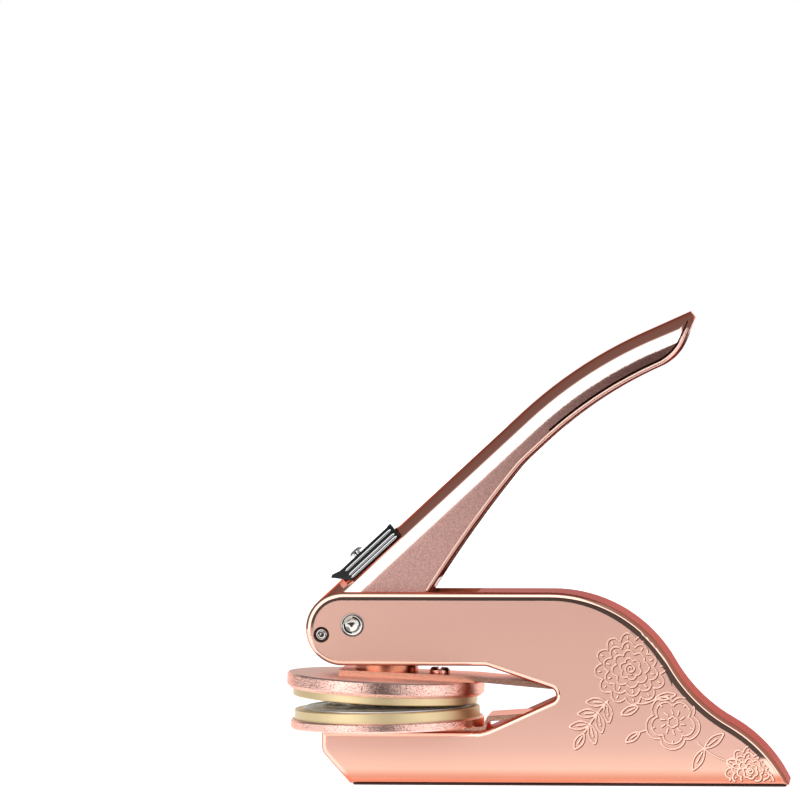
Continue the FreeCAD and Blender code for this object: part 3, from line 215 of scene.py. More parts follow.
def leverMaterial():
    # The same plating, mirror-bright on crown and shoulders, and blasted on the flat sides, which
    # sparkle a little. Light is painted in: a painted highlight on the shoulders, painted shade on the
    # underside, and painted shade that darkens the flat sides from root to grip.
    look = leverLook
    material, tree, shader = newMaterial("rose gold plated lever casting", Metallic=1.0,
                                         Specular_Tint=linear(look["grazingTint"]))
    coords = addNode(tree, "TexCoord").node.outputs
    place = coords["Object"]
    _, across, up = addNode(tree, "SeparateXYZ", [coords["Normal"]]).node.outputs
    facing = addNode(tree, "Math", [across], operation="ABSOLUTE")
    level = addNode(tree, "Math", [addNode(tree, "SeparateXYZ", [place]).node.outputs[1]],
                    operation="ABSOLUTE")
    outer = addNode(tree, "MapRange", (level, *look["sideLevel"]), **smoothly)
    normal, noise = grainBump(tree, place, look["grainMm"], 1.0)
    ragged = addNode(tree, "Math", (noise, look["ragged"], facing), operation="MULTIPLY_ADD")
    flat = addNode(tree, "MapRange", (ragged, *look["sideFacing"]), **smoothly)
    flat = addNode(tree, "Math", (flat, outer), operation="MULTIPLY")
    tipSlope, slope = math.radians(leverSide["tipSlope"]), math.radians(leverSide["slope"])
    depth = addNode(tree, "VectorMath", (place, (-math.sin(tipSlope), 0, math.cos(tipSlope))),
                    operation="DOT_PRODUCT")
    reach = addNode(tree, "VectorMath", (place, (math.cos(tipSlope), 0, math.sin(tipSlope))),
                    operation="DOT_PRODUCT")
    tip = addNode(tree, "Math", (addNode(tree, "MapRange", (depth, *look["tipDepth"]), **smoothly),
                                 addNode(tree, "MapRange", (reach, *look["tipReach"]), **smoothly)),
                  operation="MULTIPLY")
    tip = addNode(tree, "Math", (tip, addNode(tree, "MapRange", (facing, *look["tipFacing"]), **smoothly)),
                  operation="MULTIPLY")
    flat = addNode(tree, "Math", (flat, tip), operation="MAXIMUM")
    # Painted shade: the blasted sides darken from the root's colour to the grip's colour toward the tip.
    along = addNode(tree, "VectorMath", (place, (math.cos(slope), 0, math.sin(slope))),
                    operation="DOT_PRODUCT")
    paintedShadeShare = addNode(tree, "MapRange", (along, *look["paintedShadeReach"]), **smoothly)
    sideWithPaintedShade = addNode(tree, "Mix", (paintedShadeShare, linear(look["rootColour"]), linear(look["gripPaintedShadeColour"])),
                   data_type="RGBA")
    shade = addNode(tree, "MapRange", (noise, *look["grainShade"]))
    blasted = addNode(tree, "Mix", (1.0, sideWithPaintedShade, shade), data_type="RGBA", blend_type="MULTIPLY")
    # Painted highlight: the shoulders, between the crown and the flat sides, are near white.
    crown = addNode(tree, "MapRange", (facing, *look["crownFacing"]), **smoothly)
    polishedWithPaintedLight = addNode(tree, "Mix", (crown, linear(look["shoulderPaintedHighlightColour"]), linear(look["crownColour"])),
                       data_type="RGBA")
    # Painted shade: where the polished metal faces down it turns dark red.
    underShade = addNode(tree, "MapRange", (up, *look["underShadeFacing"]), **smoothly)
    polishedWithPaintedLight = addNode(tree, "Mix", (underShade, polishedWithPaintedLight, linear(look["underPaintedShadeColour"])), data_type="RGBA")
    colour = addNode(tree, "Mix", (flat, polishedWithPaintedLight, blasted), data_type="RGBA")
    rough = addNode(tree, "Mix", (flat, look["crownRoughness"], look["sideRoughness"]))
    feed(tree, normal.node, Strength=flat)
    feed(tree, shader, Base_Color=colour, Roughness=rough, Normal=normal)
    return material


# The rims' grain is drawn coarser than plating leaves it, so that it shows.
discLook = {"faceColour": "#FFEDE6", "rimColour": "#FFD2C5", "speckColour": "#8C4A3C",
            "grazingTint": "#FFD8CC", "faceRoughness": 0.4, "rimRoughness": 0.16,
            "rimFacing": (0.9, 0.6), "speckles": (0.44, 0.36), "grainMm": 0.3, "grainDepthMm": 0.12,
            "grainStrength": 0.55}


def discMaterial():
    # Plated steel: soft brushed faces, and turned rims that glitter.
    look = discLook
    material, tree, shader = newMaterial("rose gold plated steel disc", Metallic=1.0,
                                         Specular_Tint=linear(look["grazingTint"]))
    coords = addNode(tree, "TexCoord").node.outputs
    up = addNode(tree, "SeparateXYZ", [coords["Normal"]]).node.outputs[2]
    facing = addNode(tree, "Math", [up], operation="ABSOLUTE")
    rim = addNode(tree, "MapRange", (facing, *look["rimFacing"]), **smoothly)
    grain = addNode(tree, "Math", (rim, look["grainStrength"]), operation="MULTIPLY")
    normal, noise = grainBump(tree, coords["Object"], look["grainMm"], grain, look["grainDepthMm"])
    speckle = addNode(tree, "MapRange", (noise, *look["speckles"]), **smoothly)
    rimColour = addNode(tree, "Mix", (speckle, linear(look["rimColour"]), linear(look["speckColour"])),
                        data_type="RGBA")
    colour = addNode(tree, "Mix", (rim, linear(look["faceColour"]), rimColour), data_type="RGBA")
    rough = addNode(tree, "Mix", (rim, look["faceRoughness"], look["rimRoughness"]))
    feed(tree, shader, Base_Color=colour, Roughness=rough, Normal=normal)
    return material


dieSet = {"axisX": -0.039, "grooveDepthMm": 0.02}


def turnedMetal(name, colour, roughness, grooveMm, strength):
    # Turned on a lathe: fine grooves round the die set's axis, that draw the light into rings.
    material, tree, shader = newMaterial(name, Base_Color=linear(colour), Metallic=1.0,
                                         Roughness=roughness)
    place = addNode(tree, "TexCoord").node.outputs["Object"]
    x, y, z = addNode(tree, "SeparateXYZ", [place]).node.outputs
    flat = addNode(tree, "CombineXYZ", (x, y, 0))
    away = addNode(tree, "VectorMath", (flat, (dieSet["axisX"], 0, 0)), operation="DISTANCE")
    rounded = addNode(tree, "CombineXYZ", (away, 0, z))
    feed(tree, shader, Normal=grainBump(tree, rounded, grooveMm, strength, dieSet["grooveDepthMm"])[0])
    return material


rubber = {"colour": "#3A221E", "roughness": 0.75, "grainMm": 0.3, "grainStrength": 0.4}


def rubberMaterial():
    # Calendered sheet rubber: dull, with a fine tooth that breaks up the little light it gives back.
    material, tree, shader = newMaterial("black rubber sheet", Base_Color=linear(rubber["colour"]),
                                         Roughness=rubber["roughness"])
    place = addNode(tree, "TexCoord").node.outputs["Object"]
    feed(tree, shader, Normal=grainBump(tree, place, rubber["grainMm"], rubber["grainStrength"])[0])
    return material


# A plain or turned metal has its name, colour and roughness, then its grain or groove width in Mm
# and how strongly that shows, then its grazing tint.
finishes = {
    "rose_gold_casting": castingMaterial(),
    "rose_gold_lever": leverMaterial(),
    # Rolled and plated: a soft sheen with a slight orange peel.
    "rose_gold_strip": plainMetal("rose gold plated spring strip", "#F2B8A0", 0.26, 0.3, 0.8, "#FFC8B8"),
    "rose_gold_disc": discMaterial(),
    "die_brass": turnedMetal("turned brass", "#E8D2A6", 0.42, 0.08, 0.3),
    # Cast and rubbed down: a cool matt grey.
    "counter_resin": plainMetal("cast grey counter plate", "#E2E6F2", 0.42, 0.4, 0.4),
    "copper_boss": turnedMetal("turned copper plated steel", "#D2866A", 0.22, 0.12, 0.3),
    # Barrel-plated small parts: bright, with faint handling marks.
    "bright_steel": plainMetal("nickel plated steel", "#D2CDC8", 0.1, 0.1, 0.15),
    # Buffed before plating: a plain mirror.
    "latch_chrome": plainMetal("polished chrome", "#D8D8DA", 0.05),
    # Dipped and passivated: a grey, slightly rough bloom.
    "zinc_steel": plainMetal("zinc plated steel", "#A9ABAD", 0.35, 0.15, 0.3),
    "base_rubber": rubberMaterial(),
}
slots = {entry["node"]: entry["material_slot"] for entry in frame["record"]["subparts"]}
sharpEdge = 30
for name, piece in frame["nodes"].items():
    piece.data.materials.clear()
    piece.data.materials.append(finishes[slots[name]])
    piece.data.polygons.foreach_set("use_smooth", np.ones(len(piece.data.polygons), bool))
    if "sharp_edge" not in piece.data.attributes:
        piece.data.set_sharp_from_angle(angle=math.radians(sharpEdge))
print("finishes given")


def meshPiece(name, points, faces, material):
    mesh = bpy.data.meshes.new(name)
    mesh.from_pydata(points.tolist(), [], faces.tolist())
    mesh.materials.append(material)
    mesh.polygons.foreach_set("use_smooth", np.ones(len(mesh.polygons), bool))
    mesh.update()
    piece = bpy.data.objects.new(name, mesh)
    bpy.context.scene.collection.objects.link(piece)
    return piece


def evenly(path, stepMm):
    # The path's points again at even steps, and their distances along it.
    steps = np.r_[0, np.cumsum(np.linalg.norm(np.diff(path, axis=0), axis=1))]
    count = max(int(steps[-1] / stepMm), 2) + 1
    wanted = np.linspace(0, steps[-1], count)
    return np.stack([np.interp(wanted, steps, path[:, axis]) for axis in range(3)], axis=1), wanted


ridgeFit = {"sunkMm": 0.03, "leastEnd": 0.02}  # how far a foot is sunk, and an end's least share


def ridges(name, paths, normal, widthMm, heightMm, material, stepMm=0.25, sides=8):
    # Each path carries half an ellipse: across by the cosine of an angle, up by its sine. An open
    # path's ends narrow over half a width, by the sine that rounds a circle.
    normal = np.array(normal, float)
    angle = np.linspace(0, math.pi, sides + 1)
    points, faces, first = [], [], 0
    for path in paths:
        spine, along = evenly(np.array(path, float), stepMm)
        closed = np.linalg.norm(spine[0] - spine[-1]) < stepMm / 2
        tangent = np.gradient(spine, axis=0)
        if closed:
            spine, along = spine[:-1], along[:-1]
            tangent = np.roll(spine, -1, axis=0) - np.roll(spine, 1, axis=0)
        tangent /= np.linalg.norm(tangent, axis=1)[:, None] + 1e-12
        across = np.cross(normal, tangent)
        end = np.minimum(along, along[-1] - along) / (widthMm / 2)
        end = np.ones(len(spine)) if closed else np.clip(end, ridgeFit["leastEnd"], 1)
        size = np.sqrt(1 - (1 - end) ** 2)[:, None, None]
        rows = (spine[:, None, :]
                + across[:, None, :] * (np.cos(angle) * widthMm / 2)[None, :, None] * size
                + normal * (np.sin(angle) * heightMm - ridgeFit["sunkMm"])[None, :, None] * size)
        points.append(rows.reshape(-1, 3))
        spans = len(spine) if closed else len(spine) - 1
        row, column = np.meshgrid(np.arange(spans), np.arange(sides), indexing="ij")
        corner = first + row * (sides + 1) + column
        onward = first + (row + 1) % len(spine) * (sides + 1) + column
        faces.append(np.stack([corner, corner + 1, onward + 1, onward], -1).reshape(-1, 4))
        first += len(spine) * (sides + 1)
    return meshPiece(name, np.vstack(points) / 1000, np.vstack(faces), material)


# The lever's lower edge: a bright rolled lip, a dark red line of painted shade outside it and a
# near-black line of painted shadow within it, which starts part of the way up.
lips = {"lip": {"insetMm": 0.78, "widthMm": 1.0, "heightMm": 0.38, "fromHeightMm": 45.6,
                "colour": "#F2CABC", "roughness": 0.36, "tint": "#E09080"},
        # Painted shade: a dark red line along the lower edge.
        "edge": {"insetMm": 0.24, "widthMm": 0.62, "heightMm": 0.14, "fromHeightMm": 45.6,
                 "colour": "#8E3020", "roughness": 0.4, "tint": "#A83C2A"},
        # Painted shadow: a near-black line above the lip, toward the tip.
        "shade": {"insetMm": 1.5, "widthMm": 0.62, "heightMm": 0.1, "fromHeightMm": 91.0,
                  "colour": "#1E0D0A", "roughness": 0.5, "tint": "#30160F"}}
lipFit = {"sinkMm": 0.02, "leastLevelMm": 5.5, "stepMm": 0.3, "sides": 12, "outside": 0.05,
          "leastGapMm": 0.05}


def arcPoints(centre, radius, start, stop, count=40):
    # Points of a circle by the slope of its tangent, in radians.
    turn = np.linspace(start, stop, count)
    return np.stack([centre[0] - radius * np.sin(turn), centre[1] + radius * np.cos(turn)], 1)


def leverUnderside():
    # The lever's lower outline in side view, from the crown's tip round to the root: points at a
    # depth below the back's straight line or arc, and arcs that run on from each other.
    slope, tipSlope, lip, knee, root = (math.radians(leverSide[key]) for key in (
        "slope", "tipSlope", "lipAngle", "kneeAngle", "rootAngle"))
    noseX, noseZ, _ = frameSide["nose"]

    def linePoint(depthMm, stationMm):
        reach = leverSide["noseRadiusMm"] - depthMm
        return np.array((noseX - reach * math.sin(slope) + stationMm * math.cos(slope),
                         noseZ + reach * math.cos(slope) + stationMm * math.sin(slope)))

    radius, depth = leverSide["arcRadiusMm"], leverSide["depthMm"]
    inward = np.array((math.sin(slope), -math.cos(slope)))
    centre = linePoint(0, leverSide["straightMm"]) + radius * inward
    onward = np.array((math.cos(tipSlope), math.sin(tipSlope)))

    def tipPoint(depthMm, alongMm):
        return arcPoints(centre, radius - depthMm, tipSlope, tipSlope, 1)[0] + alongMm * onward

    tipEnd = leverSide["tipStraightMm"]
    lipRadius, kneeRadius, rootRadius = (leverSide[key] for key in (
        "lipRadiusMm", "kneeRadiusMm", "rootRadiusMm"))
    lipCentre = tipPoint(depth - lipRadius, tipEnd - leverSide["lipBackMm"])
    kneeStart = linePoint(depth, leverSide["straightMm"] - leverSide["kneeBackMm"])
    kneeCentre = kneeStart + kneeRadius * inward
    rootStart = arcPoints(kneeCentre, kneeRadius, knee, knee, 1)[0]
    rootCentre = rootStart + rootRadius * np.array((math.sin(knee), -math.cos(knee)))
    return np.vstack([
        tipPoint(0, tipEnd - leverSide["crownBackMm"])[None],
        tipPoint(leverSide["facetMm"], tipEnd + leverSide["reachMm"])[None],
        arcPoints(lipCentre, -lipRadius, lip, tipSlope),
        arcPoints(centre, radius - depth, tipSlope, slope, 60),
        kneeStart[None],
        arcPoints(kneeCentre, kneeRadius, slope, knee),
        arcPoints(rootCentre, rootRadius, knee, root, 60),
    ])


def makeLips():
    # Each line is the lower outline moved inward. A ray from either side lays its points on the
    # lever's wall, and a point past the wall's rounded end is left out.
    outline = leverUnderside()
    gaps = np.linalg.norm(np.diff(outline, axis=0), axis=1)
    outline = outline[np.r_[True, gaps > lipFit["leastGapMm"]]]
    tangent = np.gradient(outline, axis=0)
    tangent /= np.linalg.norm(tangent, axis=1)[:, None]
    inward = np.stack([tangent[:, 1], -tangent[:, 0]], 1)
    leverCasting = frame["nodes"]["lever_casting"]
    corners = [leverCasting.matrix_world @ vertex.co for vertex in leverCasting.data.vertices]
    walls = BVHTree.FromPolygons(corners, [tuple(face.vertices) for face in leverCasting.data.polygons])
    # The edge and shade lines are painted shade and painted shadow, laid on as thin ridges.
    for kind, lip in lips.items():
        material = plainMetal("rose gold plated rolled " + kind, lip["colour"], lip["roughness"],
                              tint=lip["tint"])
        line = outline[1:] + inward[1:] * lip["insetMm"]
        line, _ = evenly(np.insert(line, 1, 0, axis=1), lipFit["stepMm"])
        for side, label in ((-1, "near"), (1, "far")):
            path = []
            for x, _, z in line[line[:, 2] > lip["fromHeightMm"]]:
                start = Vector((x / 1000, side * lipFit["outside"], z / 1000))
                spot = walls.ray_cast(start, Vector((0, -side, 0)))[0]
                if spot and side * spot.y * 1000 > lipFit["leastLevelMm"]:
                    path.append((x, spot.y * 1000 - side * lipFit["sinkMm"], z))
            piece = ridges("lever_" + kind + "_" + label, [np.array(path)], (0, side, 0), lip["widthMm"],
                           lip["heightMm"], material, lipFit["stepMm"], lipFit["sides"])
            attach(piece, "lever")


makeLips()
print("lever lips made")


drawnPoints = {"petal": 40, "ray": 12, "leaf": 30, "stem": 40, "spiral": 80}
leafForm = {"bow": 0.9, "ribShare": 0.66, "ribFrom": 6, "endShare": 0.9}


def petalRing(x, z, radius, petals, depth, turn=0.0, point=1.0):
    # The radius swells over each petal by the sine of half the petal angle, to a power.
    angle = np.linspace(0, 2 * math.pi, drawnPoints["petal"] * petals + 1)
    swell = np.abs(np.sin(petals * (angle - turn) / 2)) ** point
    reach = radius * (1 - depth + depth * swell)
    return np.stack([x + reach * np.cos(angle), z + reach * np.sin(angle)], 1)


def rays(x, z, inner, outer, count, turn=0.0, sweep=0.0):
    # Lines outward at even angles, that turn by the sweep in proportion to the way out.
    lines = []
    for angle in turn + np.arange(count) * 2 * math.pi / count:
        reach = np.linspace(inner, outer, drawnPoints["ray"])
        bent = angle + sweep * (reach - inner) / max(outer - inner, 0.1)
        lines.append(np.stack([x + reach * np.cos(bent), z + reach * np.sin(bent)], 1))
    return lines


def leaf(x, z, course, length, width):
    # Two sides that bow apart by a sine, and a rib along two thirds of the leaf.
    turn = math.radians(course)
    along = np.array((math.cos(turn), math.sin(turn)))
    across = np.array((-math.sin(turn), math.cos(turn)))
    share = np.linspace(0, 1, drawnPoints["leaf"])[:, None]
    bow = np.sin(share * math.pi) ** leafForm["bow"] * width
    middle = np.array((x, z)) + along * share * length
    rib = np.array((x, z)) + along * share * length * leafForm["ribShare"]
    return [middle + across * bow, middle - across * bow, rib[leafForm["ribFrom"]:]]


def stem(start, middle, stop):
    # A curve of the second degree that leaves toward the middle point and arrives from it.
    share = np.linspace(0, 1, drawnPoints["stem"])[:, None]
    start, middle, stop = np.array(start), np.array(middle), np.array(stop)
    return (1 - share) ** 2 * start + 2 * share * (1 - share) * middle + share ** 2 * stop


def courseOf(step):
    return math.degrees(math.atan2(step[1], step[0]))


def sprig(start, middle, stop, pairs, length, width, spread=48):
    # A stem with pairs of leaves at shares of its length, and one at its end.
    spine = stem(start, middle, stop)
    last = len(spine) - 1
    lines = [spine]
    for share in pairs:
        index = int(share * last)
        course = courseOf(spine[min(index + 1, last)] - spine[max(index - 1, 0)])
        for side in (-1, 1):
            lines += leaf(*spine[index], course + side * spread, length, width)
    course = courseOf(spine[last] - spine[last - 2])
    return lines + leaf(*spine[last], course, length * leafForm["endShare"], width)


def spiral(x, z, inner, outer, turns):
    # The radius grows evenly with the angle.
    share = np.linspace(0, 1, drawnPoints["spiral"])
    reach = inner + (outer - inner) * share
    angle = share * turns * 2 * math.pi
    return np.stack([x + reach * np.cos(angle), z + reach * np.sin(angle)], 1)


# Rings have their share of the radius, petals, depth and turn, and ray lines their inner and
# outer shares, number and turn.
dahliaForm = {"bud": (0.03, 0.17, 1.8), "point": 0.7,
              "rings": ((0.3, 6, 0.26, 0.2), (0.52, 8, 0.24, 0.5), (0.76, 10, 0.22, 0.1),
                        (1.0, 12, 0.2, 0.35)),
              "lines": ((0.57, 0.69, 10, 0.1), (0.82, 0.92, 12, 0.35))}
blossomForm = {"petals": 5, "turn": 0.3, "point": 0.55, "rings": ((1.0, 0.3), (0.8, 0.32)),
               "eye": (0.2, 6, 0.2), "stamens": (0.27, 0.48), "sweep": 0.15, "notches": (0.66, 0.78)}


def dahlia(x, z, radius):
    # A spiral bud in four rings of petals, with short lines between the petals of the outer two.
    inner, outer, turns = dahliaForm["bud"]
    lines = [spiral(x, z, inner * radius, outer * radius, turns)]
    for share, petals, depth, turn in dahliaForm["rings"]:
        lines.append(petalRing(x, z, radius * share, petals, depth, turn, dahliaForm["point"]))
    for inner, outer, count, turn in dahliaForm["lines"]:
        lines += rays(x, z, inner * radius, outer * radius, count, turn + math.pi / count)
    return lines


def blossom(x, z, radius):
    # Two rings of petals round an eye, with swept stamens and a notch between petals.
    petals, turn = blossomForm["petals"], blossomForm["turn"]
    lines = [petalRing(x, z, radius * share, petals, depth, turn, blossomForm["point"])
             for share, depth in blossomForm["rings"]]
    share, lobes, depth = blossomForm["eye"]
    lines.append(petalRing(x, z, radius * share, lobes, depth))
    inner, outer = blossomForm["stamens"]
    lines += rays(x, z, inner * radius, outer * radius, 2 * petals, turn, blossomForm["sweep"])
    inner, outer = blossomForm["notches"]
    return lines + rays(x, z, inner * radius, outer * radius, petals, turn + math.pi / petals)


# The floral relief on the near cheek, in the side view's millimetres. The part of a line that
# comes too near the outline or the foot is left out.
relief = {"widthMm": 0.52, "heightMm": 0.24, "colour": "#FFDCCB", "roughness": 0.2, "tint": "#FF9C86",
          "keepMm": 2.2, "floorMm": 1.4, "leastPoints": 4,
          # Painted shade: a dark line set off to the right of and below each raised line.
          "paintedShadeOffsetMm": 0.19, "paintedShadeHeightMm": 0.07, "paintedShadeLineColour": "#7C483C", "paintedShadeRoughness": 0.45,
          "paintedShadeTint": "#B06050",
          "flowers": ((dahlia, 24.6, 30.2, 9.2), (blossom, 35.4, 16.6, 7.0), (dahlia, 55.2, 4.0, 6.4)),
          "sprigs": (((19.0, 22.2), (15.5, 18.5), (12.6, 13.6), (0.1, 0.42, 0.76), 5.4, 1.05),
                     ((41.6, 11.6), (44.6, 8.2), (49.0, 6.8), (0.3,), 6.4, 1.1, 78)),
          "leaves": ((26.6, 20.6, 205, 5.0, 1.0), (30.8, 22.6, 12, 5.6, 0.9), (27.0, 14.0, 215, 4.6, 0.9)),
          "stems": (((26.0, 21.4), (28.6, 20.8), (31.0, 22.6)), ((28.8, 14.6), (27.6, 14.2), (26.8, 13.9)))}


def outlineDistance(x, z):
    # Millimetres inward from the side view's outline, as borderDistance has it for a material.
    reach = frameSide["topMm"] - z
    for start, (centreX, centreZ, radius), within in frameSide["arcs"]:
        reach = np.where(x > start, within * (radius - np.hypot(x - centreX, z - centreZ)), reach)
    return reach


def keptRuns(path):
    # The stretches of a path that keep their distance from the outline and the foot.
    inside = (outlineDistance(path[:, 0], path[:, 1]) > relief["keepMm"]) & (path[:, 1] > relief["floorMm"])
    edges = np.flatnonzero(np.diff(np.r_[0, inside.astype(int), 0]))
    return [path[a:b] for a, b in zip(edges[::2], edges[1::2]) if b - a >= relief["leastPoints"]]


def makeRelief():
    # Raised lines, and beside and below each one a dark line of painted shade that gives it depth.
    lines = []
    for flower, x, z, radius in relief["flowers"]:
        lines += flower(x, z, radius)
    for course in relief["sprigs"]:
        lines += sprig(*course)
    for course in relief["leaves"]:
        lines += leaf(*course)
    lines += [stem(*course) for course in relief["stems"]]
    level = -frameSide["halfWidthMm"]
    paths = [np.stack([run[:, 0], np.full(len(run), level), run[:, 1]], 1)
             for line in lines for run in keptRuns(line)]
    raised = plainMetal("rose gold plated raised line", relief["colour"], relief["roughness"],
                        tint=relief["tint"])
    piece = ridges("floral_relief", paths, (0, -1, 0), relief["widthMm"], relief["heightMm"], raised)
    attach(piece, "frame")
    paintedShadeMetal = plainMetal("rose gold painted shade line", relief["paintedShadeLineColour"], relief["paintedShadeRoughness"],
                        tint=relief["paintedShadeTint"])
    paintedShadePaths = [path + np.array((relief["paintedShadeOffsetMm"], 0, -relief["paintedShadeOffsetMm"])) for path in paths]
    paintedShadePiece = ridges("floral_painted_shade", paintedShadePaths, (0, -1, 0), relief["widthMm"], relief["paintedShadeHeightMm"], paintedShadeMetal)
    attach(paintedShadePiece, "frame")


makeRelief()
print("relief made")

# Radii and places are shares of the drawing's radius. A plate has its piece's name, node, body,
# tilt, the side that it faces and its slot.
dieDrawing = {"widthMm": 0.5, "heightMm": 0.2, "radiusMm": 20.9, "stepMm": 0.4, "sides": 6,
              "rings": ((1.0, 1, 0.0), (0.93, 1, 0.0), (0.8, 24, 0.07)), "middle": 0.45,
              "blossoms": 6, "blossomPlace": 0.64, "blossomRadius": 0.13,
              "plates": (("counter_drawing", "counter_die", "frame", -1.0, 1, "counter_resin"),
                         ("engraved_drawing", "engraved_die", "upper_jaw", 2.6, -1, "die_brass"))}


def makeDieDrawings():
    # Rings and rosettes on the two facing plates, each laid in its plate's tilted plane.
    drawing = [petalRing(0, 0, *ring) for ring in dieDrawing["rings"]] + dahlia(0, 0, dieDrawing["middle"])
    place = dieDrawing["blossomPlace"]
    for angle in np.arange(dieDrawing["blossoms"]) * 2 * math.pi / dieDrawing["blossoms"]:
        drawing += blossom(place * math.cos(angle), place * math.sin(angle), dieDrawing["blossomRadius"])
    radius = dieDrawing["radiusMm"]
    for name, node, body, tilt, side, slot in dieDrawing["plates"]:
        low, high = (np.array(corner) * 1000 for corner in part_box(node))
        turn = math.radians(tilt)
        spread = (high[0] - low[0]) / 2 * math.sin(abs(turn))
        level = high[2] - spread if side > 0 else low[2] + spread
        along = np.array((math.cos(turn), 0, -math.sin(turn)))
        centre = np.array(((low[0] + high[0]) / 2, 0, level))
        paths = [centre + line[:, :1] * radius * along + line[:, 1:] * radius * np.array((0, 1, 0))
                 for line in drawing]
        normal = side * np.array((math.sin(turn), 0, math.cos(turn)))
        piece = ridges(name, paths, normal, dieDrawing["widthMm"], dieDrawing["heightMm"],
                       finishes[slot], dieDrawing["stepMm"], dieDrawing["sides"])
        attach(piece, body)


makeDieDrawings()
print("die drawings made")

# Profiles in Mm: the radius, and the level out from the frame's middle plane.
hingeDetails = {"dish": ((0, 10.74), (0.45, 10.76), (0.9, 10.85), (1.3, 11.0), (1.6, 11.2), (1.82, 11.38)),
                "collar": ((1.8, 11.38), (1.9, 11.24), (2.2, 11.26), (2.26, 11.4), (2.88, 11.25)),
                # Painted shade: a dark ring in the stop pin's recess, made in rubber.
                "seal": ((1.47, 10.2), (1.52, 10.42), (1.74, 10.5), (2.02, 10.74), (2.06, 10.2)),
                "button": ((0, 10.66), (0.4, 10.66), (0.62, 10.6), (0.8, 10.68), (1.1, 10.74),
                           (1.34, 10.66), (1.44, 10.5)),
                # Painted reflection: two dark arcs in each rivet head, at the upper right and lower left.
                "reflectionArcMiddle": (2.04, 11.24), "reflectionArcHalf": (0.24, 0.16), "reflectionArcStarts": (-8, 172),
                "reflectionArcSpan": 96, "dark": ("steel with painted dark reflection", "#2A2422", 0.3)}


def turnedPiece(name, centreMm, side, profileMm, material, arc=(0, 360), around=48):
    # A profile of radius and level along Y, turned about the centre's cross line. Points that meet
    # at the seam or the pole become one, and a face that shrinks to a line goes.
    shape = np.array(profileMm, float)
    turn = np.radians(np.linspace(*arc, around + 1))
    ring = np.stack([np.cos(turn), np.zeros(around + 1), np.sin(turn)], 1)
    points = shape[:, 0][:, None, None] * ring + shape[:, 1][:, None, None] * np.array((0, side, 0))
    row, column = np.meshgrid(np.arange(len(shape) - 1), np.arange(around), indexing="ij")
    corner = row * (around + 1) + column
    faces = np.stack([corner, corner + 1, corner + around + 2, corner + around + 1], -1).reshape(-1, 4)
    if side < 0:
        faces = faces[:, ::-1]
    faces = np.concatenate([faces[:, :3], faces[:, [0, 2, 3]]])
    points, place = np.unique(points.reshape(-1, 3).round(5), axis=0, return_inverse=True)
    faces = place.reshape(-1)[faces]
    faces = faces[(faces != np.roll(faces, 1, axis=1)).all(axis=1)]
    piece = meshPiece(name, (points + np.array((centreMm[0], 0, centreMm[2]))) / 1000, faces, material)
    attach(piece, "frame")


def makeHingeDetails():
    # A dimple, a raised collar and two dark arcs of painted reflection in each dished rivet head, and
    # a dark rubber ring of painted shade in the recess round each end of the stop pin.
    hinge, pin = ([(low + high) * 500 for low, high in zip(*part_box(node))] for node in (
        "hinge_rivet", "stop_pin"))
    steel, rubber = finishes["bright_steel"], finishes["base_rubber"]
    dark = plainMetal(*hingeDetails["dark"])
    (radius, level), (halfWidth, rise) = hingeDetails["reflectionArcMiddle"], hingeDetails["reflectionArcHalf"]
    reflectionArc = [(radius - halfWidth * math.cos(turn), level + rise * math.sin(turn))
              for turn in np.linspace(0, math.pi, 13)]
    for side, label in ((-1, "near"), (1, "far")):
        turnedPiece("rivet_dish_" + label, hinge, side, hingeDetails["dish"], steel)
        turnedPiece("rivet_collar_" + label, hinge, side, hingeDetails["collar"], steel)
        # Painted reflection: dark arcs laid in the rivet head's collar.
        for number, start in enumerate(hingeDetails["reflectionArcStarts"], 1):
            turnedPiece(f"rivet_groove_{label}_{number}", hinge, side, reflectionArc, dark,
                        (start, start + hingeDetails["reflectionArcSpan"]))
        # Painted shade: a dark rubber ring in the recess round the stop pin.
        turnedPiece("stop_seal_" + label, pin, side, hingeDetails["seal"], rubber)
        turnedPiece("stop_button_" + label, pin, side, hingeDetails["button"], steel)


makeHingeDetails()
print("hinge details made")

# Ribs by depth above the nose's centre line and level out from the middle plane.
latchRibs = {"widthMm": 0.66, "heightMm": 0.2, "stepMm": 0.5, "stationsMm": (10.4, 26.3),
             "placesMm": ((8.15, 7.4), (9.05, 7.4), (10.45, 6.9))}


def makeLatchRibs():
    # Straight pressed ribs along both flanks of the latch tray.
    slope = math.radians(leverSide["slope"])
    along = np.array((math.cos(slope), 0, math.sin(slope)))
    up = np.array((-math.sin(slope), 0, math.cos(slope)))
    noseX, noseZ, _ = frameSide["nose"]
    ends = np.array((noseX, 0, noseZ)) + along * np.array(latchRibs["stationsMm"])[:, None]
    for side, label in ((-1, "near"), (1, "far")):
        paths = [ends + up * depth + np.array((0, side * level, 0))
                 for depth, level in latchRibs["placesMm"]]
        piece = ridges("latch_ribs_" + label, paths, (0, side, 0), latchRibs["widthMm"],
                       latchRibs["heightMm"], finishes["latch_chrome"], latchRibs["stepMm"])
        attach(piece, "latch")


makeLatchRibs()
print("latch ribs made")

camera = {"aim": (-0.03541, 0.0, 0.0988), "turn": 5.2, "height": 1.5, "roll": 0.2, "distance": 1.5,
          "fieldWidth": 0.20689, "clip": (0.05, 20.0)}


